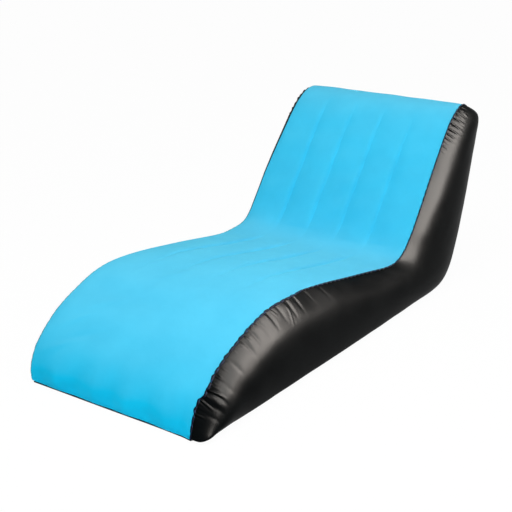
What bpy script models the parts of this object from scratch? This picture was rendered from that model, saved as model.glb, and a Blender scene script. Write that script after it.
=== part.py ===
"""Inflatable chaise lounger.

A flocked top sheet, two bulging side panels and a base-and-back sheet are welded edge to edge
round eight inner ribs, and a push-in air valve sits low on the back.
Metres, +Z up. X runs across, the toe points to -Y and the backrest stands at +Y. The origin is
on the floor under the middle of the whole part.
"""

import math

import bmesh
import bpy
import numpy as np
from mathutils import Matrix, Vector

# Side outline, measured from the front of the toe and from the floor
CREST_REACH = 0.390
CREST_HEIGHT = 0.2775
CREASE_REACH = 1.084
CREASE_HEIGHT = 0.190
RIDGE_REACH = 1.588
RIDGE_HEIGHT = 0.660
RIDGE_DEPTH = 0.096
RIDGE_DROP = 0.143
HEEL_REACH = 1.420
TOE_WELD_REACH = 0.006
SEAM_LIFT = 0.004

# Width and fullness
SEAM_WIDTH = 0.660
SIDE_BULGE = 0.048
FULL_SIDE_HEIGHT = 0.200
TOE_DRAW_IN = 0.022
TOE_DRAW_RUN = 1.200
TOE_FULL_RUN = 0.110
RIDGE_DRAW_IN = 0.016
RIDGE_DRAW_RUN = 0.730
TOP_CROWN = 0.008
BACK_CROWN = 0.012
CROWN_RUN = 0.070
FLAT_HALF_WIDTH = 0.270

# Films, welds and the gap between touching pieces
TOP_FILM = 0.0008
PANEL_FILM = 0.0006
RIB_FILM = 0.0005
WELD_RADIUS = 0.0025
GAP = 0.0003

# Ribs and the grooves that they pull into the top sheet
RIB_PITCH = 0.125
RIB_FLANGE = 0.016
LAND_WIDTH = 0.020
GROOVE_DEPTH = 0.008
SEAT_VENT_RADIUS = 0.030
BACK_VENT_RADIUS = 0.025

# Air valve
VALVE_HEIGHT = 0.205
VALVE_PATCH = 0.070
FLANGE_RADIUS = 0.030
FLANGE_THICKNESS = 0.0015
BORE_RADIUS = 0.0115
NECK_RADIUS = 0.015
NECK_HEIGHT = 0.013
LIP_RADIUS = 0.0162
LIP_THICKNESS = 0.0025
COLLAR_CLEARANCE = 0.0005
COLLAR_WALL = 0.0025
COLLAR_THICKNESS = 0.003
STOPPER_CLEARANCE = 0.0006
STOPPER_WALL = 0.0019
STOPPER_DEPTH = 0.004
CAP_THICKNESS = 0.002
STRAP_THICKNESS = 0.001
STRAP_WIDTH = 0.007
KNUCKLE_RADIUS = 0.0012
HINGE_OFFSET = 0.021
TAB_REACH = 0.0205
TAB_WIDTH = 0.012
PORT_RADIUS = 0.005
PORT_WALL = 0.0022
PORT_LENGTH = 0.009
PORT_STRAP_WIDTH = 0.0044
PORT_STRAP_THICKNESS = 0.0008
PORT_KNUCKLE_RADIUS = 0.0009
PORT_HINGE_OFFSET = 0.0105
PORT_STOPPER_DEPTH = 0.002
PORT_CAP_THICKNESS = 0.0016
PORT_TAB_REACH = 0.0105
PORT_TAB_WIDTH = 0.006
FLAP_OVERLAP = 0.0016
FLAP_THICKNESS = 0.0006
FLAP_TAB_LENGTH = 0.001
FLAP_TAB_WIDTH = 0.005
CUT_OVERRUN = 0.002

# Outline points between the named places above, as shares of the run from one to the next
TOE_SHARES = (
    (-0.003, 0.030), (-0.005, 0.144), (0.030, 0.274), (0.092, 0.422),
    (0.195, 0.562), (0.364, 0.732), (0.569, 0.850), (0.782, 0.962),
)
SEAT_SHARES = ((0.125, 0.011), (0.271, 0.068), (0.443, 0.294), (0.631, 0.573), (0.819, 0.814))
BACKREST_SHARES = (
    (0.108, 0.028), (0.180, 0.096), (0.258, 0.201), (0.376, 0.368),
    (0.535, 0.587), (0.658, 0.752), (0.780, 0.897), (0.890, 0.978),
)
REAR_SHARES = ((0.51, 0.11), (0.856, 0.357), (1.0, 0.678), (0.911, 1.0))
BACK_SHARES = ((0.094, 0.114), (0.286, 0.413), (0.482, 0.719), (0.601, 0.856), (0.775, 0.956))
FLOOR_SHARES = (0.097, 0.396, 0.708, 0.896, 0.986)

# Where the stations' stretches end, counted in guide points, and the steps in each stretch
OUTLINE_POINTS = 40
BACK_WELD_POINT = 26
TOP_STOPS = (0, 3, 9, 14.7, 17.5, 18.3, 19, 22, 23.5, 26)
LOW_STOPS = (40, 38.6, 37, 34, 32)
HIGH_STOPS = (28.6, 27.5, 26)
STEPS = (4, 6, 5, 4, 1, 1, 4, 2, 3)
SAMPLES = 24

# Stations where ribs and grooves start and end, counted along the outline
SEAT_RIB_STATIONS = (11, 16)
BACK_RIB_STATIONS = (19, 25)
SEAT_VENT_STATIONS = (12, 13.5, 15)
BACK_VENT_STATIONS = (20.5, 22, 23.5)
GROOVE_STATIONS = (9, 13, 16, 19, 25, 27)
GROOVE_SHARES = (0.0, 0.45, 0.6, 1.0, 0.9, 0.0)
VALVE_STATION = 20
TOP_CHANNEL_COLUMNS = 3
LOW_CHANNEL_COLUMNS = 2
SIDE_COLUMNS = 12
SIDE_FULLNESS_POWERS = (1.3, 0.6)
CROWN_POWER = 4
ROUND_SIDES = 32

parts = bpy.data.collections.new("inflatable_lounger")
cutters = bpy.data.collections.new("cutters")


def clear_scene():
    for obj in list(bpy.data.objects):
        bpy.data.objects.remove(obj)
    for collection in (parts, cutters):
        bpy.context.scene.collection.children.link(collection)


def material(name, color, roughness, metallic=0.0):
    made = bpy.data.materials.new(name)
    made.use_nodes = True
    shader = made.node_tree.nodes["Principled BSDF"]
    shader.inputs["Base Color"].default_value = (*color, 1.0)
    shader.inputs["Roughness"].default_value = roughness
    shader.inputs["Metallic"].default_value = metallic
    return made


def add_object(name, data, finish, collection=None):
    obj = bpy.data.objects.new(name, data)
    data.materials.append(finish)
    (collection or parts).objects.link(obj)
    return obj


def object_from(name, bm, finish, collection=None):
    mesh = bpy.data.meshes.new(name)
    bm.to_mesh(mesh)
    bm.free()
    return add_object(name, mesh, finish, collection)


# Outline of the seams


def between(start, end, shares):
    """Points from start towards end, each a share of the run along y and of the rise along z."""
    run, rise = end[0] - start[0], end[1] - start[1]
    return [(start[0] + along * run, start[1] + up * rise) for along, up in shares]


def outline_points():
    """Guide points of the seam's closed side outline, (y, z), from the toe weld over the top."""
    weld = (TOE_WELD_REACH, SEAM_LIFT)
    crest = (CREST_REACH, CREST_HEIGHT)
    crease = (CREASE_REACH, CREASE_HEIGHT)
    ridge = (RIDGE_REACH, RIDGE_HEIGHT)
    rear = (RIDGE_REACH + RIDGE_DEPTH, RIDGE_HEIGHT - RIDGE_DROP)
    back = (RIDGE_REACH + RIDGE_DEPTH * REAR_SHARES[-1][0], rear[1])
    heel = (HEEL_REACH, SEAM_LIFT)
    points = [weld] + between((0, 0), crest, TOE_SHARES)
    points += [crest] + between(crest, crease, SEAT_SHARES)
    points += [crease] + between(crease, ridge, BACKREST_SHARES)
    points += [ridge] + between(ridge, rear, REAR_SHARES)
    points += between(back, heel, BACK_SHARES)
    points += [heel] + between(heel, weld, [(share, 0) for share in FLOOR_SHARES])
    return np.array(points)


def spline_point(points, place):
    """Point of the closed cubic B-spline at a place counted in guide points."""
    whole = math.floor(place)
    t = place - whole
    weights = ((1 - t) ** 3, 3 * t**3 - 6 * t**2 + 4, -3 * t**3 + 3 * t**2 + 3 * t + 1, t**3)
    near = [points[(whole + k) % len(points)] for k in (-1, 0, 1, 2)]
    return sum(weight * point for weight, point in zip(weights, near)) / 6


class Line:
    """One stretch of the outline, read by its length."""

    def __init__(self, points, start, end):
        count = int(abs(end - start) * SAMPLES)
        self.places = np.linspace(start, end, count + 1)
        self.points = np.array([spline_point(points, place) for place in self.places])
        steps = np.linalg.norm(np.diff(self.points, axis=0), axis=1)
        self.lengths = np.concatenate([[0.0], np.cumsum(steps)])

    def length_at(self, place):
        if self.places[0] > self.places[-1]:
            return np.interp(-place, -self.places, self.lengths)
        return np.interp(place, self.places, self.lengths)

    def length_at_height(self, height, low, high):
        """Length where the line, between two places, reaches this height."""
        inside = (self.lengths >= self.length_at(low)) & (self.lengths <= self.length_at(high))
        return np.interp(height, self.points[inside, 1], self.lengths[inside])

    def point(self, length):
        return np.array([np.interp(length, self.lengths, self.points[:, k]) for k in (0, 1)])


def stations(stops):
    """Lengths of all stations: each stretch between two stops is cut into its equal steps."""
    found = [stops[0]]
    for start, end, count in zip(stops, stops[1:], STEPS):
        found += [start + (end - start) * k / count for k in range(1, count + 1)]
    return np.array(found)


def top_and_low_lines():
    guide = outline_points()
    top = Line(guide, 0, BACK_WELD_POINT)
    low = Line(guide, OUTLINE_POINTS, BACK_WELD_POINT)
    valve = low.length_at_height(VALVE_HEIGHT, LOW_STOPS[-1], HIGH_STOPS[0])
    low_stops = [low.length_at(place) for place in LOW_STOPS]
    low_stops += [valve - VALVE_PATCH / 2, valve + VALVE_PATCH / 2]
    low_stops += [low.length_at(place) for place in HIGH_STOPS]
    return top, stations([top.length_at(stop) for stop in TOP_STOPS]), low, stations(low_stops)


def mitres(loop):
    """Outward offset of 1 at each point of a closed outline, lengthened at the bends."""
    ahead = np.roll(loop, -1, axis=0) - loop
    ahead /= np.linalg.norm(ahead, axis=1, keepdims=True)
    normals = np.stack([-ahead[:, 1], ahead[:, 0]], axis=1)
    before = np.roll(normals, 1, axis=0)
    return (normals + before) / (1 + (normals * before).sum(axis=1, keepdims=True))


TOP_LINE, TOP_LENGTHS, LOW_LINE, LOW_LENGTHS = top_and_low_lines()
LAST = len(TOP_LENGTHS) - 1
TOP_SEAM = np.array([TOP_LINE.point(length) for length in TOP_LENGTHS])
LOW_SEAM = np.array([LOW_LINE.point(length) for length in LOW_LENGTHS])
LOOP = np.concatenate([TOP_SEAM, LOW_SEAM[-2:0:-1]])
LOOP_MITRES = mitres(LOOP)
TOP_MITRES = LOOP_MITRES[: LAST + 1]
LOW_MITRES = np.concatenate([LOOP_MITRES[:1], LOOP_MITRES[:LAST - 1:-1]])


# Widths and heights across the outline


def fade(length, run):
    """1 at the start of a run, easing to 0 at its end."""
    return (1 - min(length / run, 1.0)) ** 2


def toe_draw_in(station):
    return TOE_DRAW_IN * fade(TOP_LENGTHS[station], TOE_DRAW_RUN)


def seam_half_width(station):
    from_back = TOP_LENGTHS[-1] - TOP_LENGTHS[station]
    drawn = toe_draw_in(station) + RIDGE_DRAW_IN * fade(from_back, RIDGE_DRAW_RUN)
    return SEAM_WIDTH / 2 - drawn


def film_inset(film):
    """How far a sheet's edge stays from the seam line, to leave room for the weld."""
    return WELD_RADIUS + GAP + film / 2


def rounded(length, total):
    """0 at both ends of a line, rising to 1 within the crown's run."""
    near = min(length, total - length, CROWN_RUN) / CROWN_RUN
    return math.sin(near * math.pi / 2)


def rib_places():
    return (-1.5 * RIB_PITCH, -0.5 * RIB_PITCH, 0.5 * RIB_PITCH, 1.5 * RIB_PITCH)


def column_places(station, inset, channel_columns):
    """(x, rib's x or None) of each column of a sheet, from left to right."""
    edge = seam_half_width(station) - inset
    lands = [(rib - LAND_WIDTH / 2, rib + LAND_WIDTH / 2, rib) for rib in rib_places()]
    found = [(-edge, None)]
    for low, high, rib in lands + [(edge, None, None)]:
        start = found[-1][0]
        found += [
            (start + (low - start) * k / channel_columns, None)
            for k in range(1, channel_columns)
        ]
        found.append((low, rib))
        if rib is not None:
            found.append((high, rib))
    return found


def groove_depth(station):
    return GROOVE_DEPTH * float(np.interp(station, GROOVE_STATIONS, GROOVE_SHARES))


def top_height(station, x, rib):
    """How far the top sheet stands out from the seam line."""
    across = abs(x if rib is None else rib) / seam_half_width(station)
    crown = TOP_CROWN * rounded(TOP_LENGTHS[station], TOP_LENGTHS[-1])
    height = crown * (1 - min(across, 1.0) ** CROWN_POWER)
    return height if rib is None else height - groove_depth(station)


def low_height(station, x, rib):
    """How far the base and back sheet stands out from the seam line. It is flat on the floor."""
    flat = LOW_LENGTHS[sum(STEPS[:3])]
    back = LOW_LENGTHS[VALVE_STATION]
    crown = np.interp(LOW_LENGTHS[station], (flat, back), (SEAM_LIFT, BACK_CROWN))
    crown *= rounded(LOW_LENGTHS[station], LOW_LENGTHS[-1])
    half = seam_half_width(station)
    outside = max(0.0, abs(x) - FLAT_HALF_WIDTH) / (half - FLAT_HALF_WIDTH)
    return crown * (1 - min(outside, 1.0) ** 2)


class Skin:
    """The sheet over one side of the outline: its columns, its heights and its film."""

    def __init__(self, seam, offsets, height, film, channel_columns):
        self.seam, self.offsets, self.height, self.film = seam, offsets, height, film
        self.channel_columns = channel_columns

    def columns(self, station):
        return column_places(station, film_inset(self.film), self.channel_columns)

    def row(self, station):
        """Seam point of a row. The end rows stop short of the weld across the sheet."""
        if station not in (0, LAST):
            return self.seam[station]
        inward = self.seam[1 if station == 0 else LAST - 1] - self.seam[station]
        return self.seam[station] + inward * film_inset(self.film) / np.linalg.norm(inward)

    def point(self, station, x, rib, depth=0.0):
        """World point on the sheet, or at a depth under its outer face."""
        out = 0.0 if station in (0, LAST) else self.height(station, x, rib)
        y, z = self.row(station) + self.offsets[station] * (out - depth)
        return Vector((x, y, z))


TOP_SKIN = Skin(TOP_SEAM, TOP_MITRES, top_height, TOP_FILM, TOP_CHANNEL_COLUMNS)
LOW_SKIN = Skin(LOW_SEAM, LOW_MITRES, low_height, PANEL_FILM, LOW_CHANNEL_COLUMNS)


def middle_reach():
    """Middle of the whole part along y, counting the crowns of the front and the back."""
    reaches = [
        skin.point(station, x, rib).y
        for skin in (TOP_SKIN, LOW_SKIN)
        for station in range(LAST + 1)
        for x, rib in skin.columns(station)
    ]
    return (min(reaches) + max(reaches)) / 2


MIDDLE = Vector((0.0, middle_reach(), 0.0))


# Sheets and panels


def laid_grid(columns, rows, place):
    """A grid of faces whose points are laid out by place(column, row)."""
    bm = bmesh.new()
    bmesh.ops.create_grid(bm, x_segments=columns, y_segments=rows, size=1)
    for vert in bm.verts:
        column = round((vert.co.x + 1) * columns / 2)
        row = round((vert.co.y + 1) * rows / 2)
        vert.co = Vector(place(column, row)) - MIDDLE
    bmesh.ops.remove_doubles(bm, verts=bm.verts, dist=GAP / 10)
    return bm


def sheet(name, columns, rows, place, film, finish, flip):
    """A laid-out grid with its film's thickness inside it."""
    bm = laid_grid(columns, rows, place)
    if flip:
        bmesh.ops.reverse_faces(bm, faces=bm.faces)
    obj = object_from(name, bm, finish)
    obj.data.shade_smooth()
    thickness = obj.modifiers.new("film", "SOLIDIFY")
    thickness.thickness = film
    thickness.offset = -1
    thickness.use_even_offset = True
    return obj


def skin_sheet(name, skin, finish, flip):
    rows = [skin.columns(station) for station in range(LAST + 1)]

    def place(column, station):
        x, rib = rows[station][column]
        return skin.point(station, x, rib)

    return sheet(name, len(rows[0]) - 1, LAST, place, skin.film, finish, flip)


def side_point(station, share):
    """(y, z) and stand-out of a side panel, a share of the way from the top seam to the low.

    The panel makes up for the seam's draw-in at the toe, and is fuller low down than high up.
    """
    inset = film_inset(PANEL_FILM)
    top = TOP_SEAM[station] - TOP_MITRES[station] * inset
    low = LOW_SEAM[station] - LOW_MITRES[station] * inset
    height = np.linalg.norm(top - low)
    full = math.sqrt(1 - (1 - min(height / FULL_SIDE_HEIGHT, 1.0)) ** 2)
    across = (1 - math.cos(math.pi * share)) / 2
    at_top, at_bottom = SIDE_FULLNESS_POWERS
    power = at_top + (at_bottom - at_top) * share
    point = top + (low - top) * across
    behind_toe = min(max(point[0], 0.0) / TOE_FULL_RUN, 1.0)
    full *= math.sin(behind_toe * math.pi / 2)
    most = SIDE_BULGE + toe_draw_in(station)
    return point, most * full * math.sin(math.pi * share) ** power


def side_panel(name, side, finish):
    def place(column, station):
        (y, z), bulge = side_point(station, column / SIDE_COLUMNS)
        return side * (seam_half_width(station) + bulge), y, z

    return sheet(name, SIDE_COLUMNS, LAST, place, PANEL_FILM, finish, side < 0)


# Edge welds


def tube(name, points, radius, finish, closed=False):
    curve = bpy.data.curves.new(name, "CURVE")
    curve.dimensions = "3D"
    spline = curve.splines.new("POLY")
    spline.points.add(len(points) - 1)
    for target, point in zip(spline.points, points):
        target.co = (*(Vector(point) - MIDDLE), 1.0)
    spline.use_cyclic_u = closed
    curve.bevel_depth = radius
    curve.bevel_resolution = 1
    curve.use_fill_caps = not closed
    return add_object(name, curve, finish)


def side_weld(name, side, finish):
    """Weld round the whole edge of one side panel."""
    widths = [seam_half_width(station) for station in range(LAST + 1)]
    widths += widths[-2:0:-1]
    middles = LOOP - LOOP_MITRES * PANEL_FILM / 2
    points = [(side * (w - PANEL_FILM / 2), y, z) for w, (y, z) in zip(widths, middles)]
    return tube(name, points, WELD_RADIUS, finish, closed=True)


def cross_weld(name, station, finish):
    """Weld across the lounger, where the top sheet meets the base and back sheet."""
    half = seam_half_width(station) - PANEL_FILM / 2 - 2 * WELD_RADIUS - GAP
    y, z = TOP_SEAM[station] - TOP_MITRES[station] * PANEL_FILM / 2
    return tube(name, [(-half, y, z), (0.0, y, z), (half, y, z)], WELD_RADIUS, finish)


# Inner ribs


def rib(name, place, span, vents, finish):
    """A folded strip from the top sheet to the base or back sheet, with a flange under each."""
    first, last = span
    outward = math.copysign(RIB_FLANGE / 2, place)

    def fold(column, row):
        skin = TOP_SKIN if column < 2 else LOW_SKIN
        x = place + (outward if column in (0, 3) else -outward)
        depth = skin.film + GAP + RIB_FILM / 2
        return skin.point(first + row, x, place, depth)

    obj = object_from(name, laid_grid(3, last - first, fold), finish)
    thickness = obj.modifiers.new("film", "SOLIDIFY")
    thickness.thickness = RIB_FILM
    thickness.offset = 0
    thickness.use_even_offset = True
    holes = obj.modifiers.new("vents", "BOOLEAN")
    holes.operation = "DIFFERENCE"
    holes.object = vents
    return obj


def station_point(skin, station):
    """Seam point at a station that may lie between two rows."""
    low = math.floor(station)
    share = station - low
    return skin.seam[low] * (1 - share) + skin.seam[min(low + 1, LAST)] * share


def vent_cutter(name, places, radius, finish):
    """Cylinders across the lounger that cut the air vents of a row of ribs."""
    bm = bmesh.new()
    for place in places:
        y, z = (station_point(TOP_SKIN, place) + station_point(LOW_SKIN, place)) / 2
        centre = Vector((0.0, y, z)) - MIDDLE
        turn = Matrix.Rotation(math.pi / 2, 4, "Y")
        bmesh.ops.create_cone(
            bm, cap_ends=True, segments=ROUND_SIDES // 2, radius1=radius, radius2=radius,
            depth=SEAM_WIDTH, matrix=Matrix.Translation(centre) @ turn,
        )
    return as_cutter(object_from(name, bm, finish, cutters))


def as_cutter(obj):
    obj.hide_render = True
    obj.display_type = "WIRE"
    return obj


# Air valve, built round its own axis: +Z points out of the back sheet and -Y up along it


def valve_frame():
    """Matrix of the flat patch of the back sheet that carries the valve."""
    columns = LOW_SKIN.columns(VALVE_STATION)
    places = [column for column in columns if column[1] in rib_places()[1:3]][1:3]
    rows = [
        sum((LOW_SKIN.point(station, *place) for place in places), Vector()) / 2
        for station in (VALVE_STATION, VALVE_STATION + 1)
    ]
    across = Vector((1.0, 0.0, 0.0))
    up = (rows[1] - rows[0]).normalized()
    frame = Matrix((across, -up, up.cross(across))).transposed().to_4x4()
    frame.translation = (rows[0] + rows[1]) / 2 - MIDDLE
    return frame


FLANGE_TOP = GAP + FLANGE_THICKNESS
COLLAR_BOTTOM = FLANGE_TOP + GAP
CAP_BOTTOM = NECK_HEIGHT + GAP
CAP_TOP = CAP_BOTTOM + CAP_THICKNESS
PORT_TOP = CAP_BOTTOM + PORT_LENGTH
PORT_OUTER = PORT_RADIUS + PORT_WALL
PORT_CAP_BOTTOM = PORT_TOP + GAP
FLAP_TOP = CAP_BOTTOM - GAP
FLAP_RADIUS = PORT_RADIUS + FLAP_OVERLAP
DEFLATE_HINGE = Vector((0.0, -HINGE_OFFSET, NECK_HEIGHT + GAP / 2))
INFLATE_HINGE = Vector((0.0, PORT_HINGE_OFFSET, PORT_TOP + GAP / 2))
FLAP_HINGE = Vector((0.0, FLAP_RADIUS + FLAP_TAB_LENGTH, FLAP_TOP))


def empty(name, place, parent=None, frame=None):
    """An axis that pieces turn on. Its place is in the valve's own frame."""
    made = bpy.data.objects.new(name, None)
    made.empty_display_size = BORE_RADIUS
    parts.objects.link(made)
    if parent is None:
        made.matrix_world = frame
        made["place"] = (0.0, 0.0, 0.0)
    else:
        made.parent = parent
        made.location = place - Vector(parent["place"])
        made["place"] = tuple(place)
    return made


def on_axis(obj, axis):
    """Parents a piece drawn in the valve's frame to one of the valve's axes."""
    obj.parent = axis
    obj.location = -Vector(axis["place"])
    return obj


def turned(name, profile, finish, axis, ring):
    """A body turned about the valve's axis, from a profile that runs down its outer side."""
    mesh = bpy.data.meshes.new(name)
    edges = [(k, k + 1) for k in range(len(profile) - 1)]
    if ring:
        edges.append((len(profile) - 1, 0))
    mesh.from_pydata([(radius, 0.0, height) for radius, height in profile], edges, [])
    obj = on_axis(add_object(name, mesh, finish), axis)
    screw = obj.modifiers.new("turn", "SCREW")
    screw.steps = ROUND_SIDES
    screw.render_steps = ROUND_SIDES
    screw.use_merge_vertices = True
    screw.merge_threshold = GAP / 10
    return obj


def join(obj, other, operation="UNION"):
    change = obj.modifiers.new(other.name, "BOOLEAN")
    change.operation = operation
    change.object = other


def block(name, low, high, finish, axis):
    """A box between two corners in the valve's frame, for a Boolean."""
    bm = bmesh.new()
    bmesh.ops.create_cube(bm, size=1.0)
    low, high = Vector(low), Vector(high)
    for vert in bm.verts:
        vert.co = (low + high) / 2 + vert.co * (high - low)
    return as_cutter(on_axis(object_from(name, bm, finish, cutters), axis))


def knuckle(name, hinge, radius, width, finish, axis):
    """A short round bar along a hinge's axis, for a Boolean."""
    bm = bmesh.new()
    place = Matrix.Translation(hinge) @ Matrix.Rotation(math.pi / 2, 4, "Y")
    bmesh.ops.create_cone(
        bm, cap_ends=True, segments=ROUND_SIDES // 2, radius1=radius, radius2=radius,
        depth=width, matrix=place,
    )
    return as_cutter(on_axis(object_from(name, bm, finish, cutters), axis))


def valve_base(finish, axis):
    profile = (
        (LIP_RADIUS, NECK_HEIGHT),
        (LIP_RADIUS, NECK_HEIGHT - LIP_THICKNESS),
        (NECK_RADIUS, NECK_HEIGHT - LIP_THICKNESS),
        (NECK_RADIUS, FLANGE_TOP),
        (FLANGE_RADIUS, FLANGE_TOP),
        (FLANGE_RADIUS, GAP),
        (BORE_RADIUS, GAP),
        (BORE_RADIUS, NECK_HEIGHT),
    )
    return turned("valve_base", profile, finish, axis, ring=True)


def tether_collar(finish, axis):
    """Loose ring under the neck's lip, with the lug that the deflate plug's strap hinges on."""
    inner = NECK_RADIUS + COLLAR_CLEARANCE
    outer = inner + COLLAR_WALL
    top = COLLAR_BOTTOM + COLLAR_THICKNESS
    profile = ((outer, top), (outer, COLLAR_BOTTOM), (inner, COLLAR_BOTTOM), (inner, top))
    collar = turned("tether_collar", profile, finish, axis, ring=True)
    lug_top = DEFLATE_HINGE.z - KNUCKLE_RADIUS - GAP
    lug = block(
        "collar_lug",
        (-STRAP_WIDTH / 2, -HINGE_OFFSET - 2 * KNUCKLE_RADIUS, COLLAR_BOTTOM + GAP),
        (STRAP_WIDTH / 2, -LIP_RADIUS - COLLAR_CLEARANCE, lug_top),
        finish, axis,
    )
    join(collar, lug)
    return collar


def deflate_plug(finish, axis):
    """Wide plug that shuts the neck. Its middle carries the small inflation port."""
    stopper = BORE_RADIUS - STOPPER_CLEARANCE
    stopper_bottom = CAP_BOTTOM - STOPPER_DEPTH
    profile = (
        (PORT_OUTER, PORT_TOP),
        (PORT_OUTER, CAP_TOP),
        (LIP_RADIUS, CAP_TOP),
        (LIP_RADIUS, CAP_BOTTOM),
        (stopper, CAP_BOTTOM),
        (stopper, stopper_bottom),
        (stopper - STOPPER_WALL, stopper_bottom),
        (stopper - STOPPER_WALL, CAP_BOTTOM),
        (PORT_RADIUS, CAP_BOTTOM),
        (PORT_RADIUS, PORT_TOP),
    )
    plug = turned("deflate_plug", profile, finish, axis, ring=True)
    edge_low = CAP_BOTTOM + (CAP_THICKNESS - STRAP_THICKNESS) / 2
    edge_high = edge_low + STRAP_THICKNESS
    inside = LIP_RADIUS - CAP_THICKNESS
    join(plug, block(
        "deflate_strap",
        (-STRAP_WIDTH / 2, -HINGE_OFFSET, edge_low),
        (STRAP_WIDTH / 2, -inside, edge_high), finish, axis,
    ))
    join(plug, knuckle(
        "deflate_knuckle", DEFLATE_HINGE, KNUCKLE_RADIUS, STRAP_WIDTH - GAP, finish, axis,
    ))
    join(plug, block(
        "deflate_tab",
        (-TAB_WIDTH / 2, inside, edge_low), (TAB_WIDTH / 2, TAB_REACH, edge_high), finish, axis,
    ))
    join(plug, block(
        "port_lug",
        (-PORT_STRAP_WIDTH / 2, PORT_RADIUS + PORT_WALL / 2, edge_high),
        (
            PORT_STRAP_WIDTH / 2,
            PORT_HINGE_OFFSET + 2 * PORT_KNUCKLE_RADIUS,
            INFLATE_HINGE.z - PORT_KNUCKLE_RADIUS - GAP,
        ),
        finish, axis,
    ))
    return plug


def check_flap(finish, axis):
    """Soft disc under the port that lets air in and shuts by itself."""
    bottom = FLAP_TOP - FLAP_THICKNESS
    profile = ((0.0, FLAP_TOP), (FLAP_RADIUS, FLAP_TOP), (FLAP_RADIUS, bottom), (0.0, bottom))
    flap = turned("check_flap", profile, finish, axis, ring=False)
    join(flap, block(
        "flap_tab",
        (-FLAP_TAB_WIDTH / 2, PORT_RADIUS, bottom),
        (FLAP_TAB_WIDTH / 2, FLAP_HINGE.y, FLAP_TOP), finish, axis,
    ))
    return flap


def inflate_plug(finish, axis):
    """Small plug that shuts the inflation port. It opens away from the deflate plug's hinge."""
    stopper = PORT_RADIUS - STOPPER_CLEARANCE
    top = PORT_CAP_BOTTOM + PORT_CAP_THICKNESS
    bottom = PORT_CAP_BOTTOM - PORT_STOPPER_DEPTH
    profile = (
        (0.0, top), (PORT_OUTER, top), (PORT_OUTER, PORT_CAP_BOTTOM),
        (stopper, PORT_CAP_BOTTOM), (stopper, bottom), (0.0, bottom),
    )
    plug = turned("inflate_plug", profile, finish, axis, ring=False)
    edge_low = PORT_CAP_BOTTOM + (PORT_CAP_THICKNESS - PORT_STRAP_THICKNESS) / 2
    edge_high = edge_low + PORT_STRAP_THICKNESS
    inside = PORT_OUTER - PORT_CAP_THICKNESS
    join(plug, block(
        "inflate_strap",
        (-PORT_STRAP_WIDTH / 2, inside, edge_low),
        (PORT_STRAP_WIDTH / 2, PORT_HINGE_OFFSET, edge_high), finish, axis,
    ))
    join(plug, knuckle(
        "inflate_knuckle", INFLATE_HINGE, PORT_KNUCKLE_RADIUS, PORT_STRAP_WIDTH - GAP,
        finish, axis,
    ))
    join(plug, block(
        "inflate_tab",
        (-PORT_TAB_WIDTH / 2, -PORT_TAB_REACH, edge_low),
        (PORT_TAB_WIDTH / 2, -inside, edge_high), finish, axis,
    ))
    return plug


def valve_hole(finish, axis):
    """Cylinder that cuts the valve's air hole in the back sheet."""
    bm = bmesh.new()
    bmesh.ops.create_cone(
        bm, cap_ends=True, segments=ROUND_SIDES, radius1=BORE_RADIUS, radius2=BORE_RADIUS,
        depth=2 * CUT_OVERRUN,
    )
    return as_cutter(on_axis(object_from("valve_hole", bm, finish, cutters), axis))


# The whole lounger


def envelope(blue, black):
    skin_sheet("top_sheet", TOP_SKIN, blue, False)
    base = skin_sheet("base_and_back_sheet", LOW_SKIN, black, True)
    for name, side in (("right", 1), ("left", -1)):
        side_panel(f"{name}_side_panel", side, black)
    return base


def edge_welds(finish):
    for name, side in (("right", 1), ("left", -1)):
        side_weld(f"{name}_edge_weld", side, finish)
    cross_weld("toe_weld", 0, finish)
    cross_weld("back_top_weld", LAST, finish)


def ribs(finish):
    places = ("outer_left", "inner_left", "inner_right", "outer_right")
    seat_vents = vent_cutter("seat_vents", SEAT_VENT_STATIONS, SEAT_VENT_RADIUS, finish)
    back_vents = vent_cutter("back_vents", BACK_VENT_STATIONS, BACK_VENT_RADIUS, finish)
    for name, place in zip(places, rib_places()):
        rib(f"seat_rib_{name}", place, SEAT_RIB_STATIONS, seat_vents, finish)
        rib(f"back_rib_{name}", place, BACK_RIB_STATIONS, back_vents, finish)


def valve(base, black, clear):
    axis = empty("valve_axis", None, frame=valve_frame())
    deflate = empty("deflate_hinge", DEFLATE_HINGE, axis)
    inflate = empty("inflate_hinge", INFLATE_HINGE, deflate)
    flap = empty("flap_hinge", FLAP_HINGE, deflate)
    join(base, valve_hole(black, axis), "DIFFERENCE")
    valve_base(black, axis)
    tether_collar(black, axis)
    deflate_plug(black, deflate)
    inflate_plug(black, inflate)
    check_flap(clear, flap)


def main():
    clear_scene()
    blue = material("flocked_blue_vinyl", (0.05, 0.52, 0.86), 0.9)
    black = material("satin_black_vinyl", (0.012, 0.013, 0.015), 0.38)
    weld = material("welded_edge", (0.01, 0.02, 0.035), 0.45)
    film = material("clear_rib_film", (0.55, 0.6, 0.62), 0.3)
    valve_black = material("valve_vinyl", (0.02, 0.02, 0.022), 0.4)
    flap = material("flap_film", (0.6, 0.62, 0.62), 0.25)
    base = envelope(blue, black)
    edge_welds(weld)
    ribs(film)
    valve(base, valve_black, flap)


main()
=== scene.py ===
"""Looks of the inflatable chaise lounger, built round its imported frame.

Metres, +Z up, in the frame of the part. The toe points to -Y and the backrest stands at +Y.
The sheets, the side panels and the welds are rebuilt smooth and fine over the outline of the
solids, with grooves, flutes, puckers along the seams, pinched welds and soft folds. The ribs and
the valve keep their own solids.
"""

import math

import bmesh
import bpy
import numpy as np
from mathutils import Matrix, Vector


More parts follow.
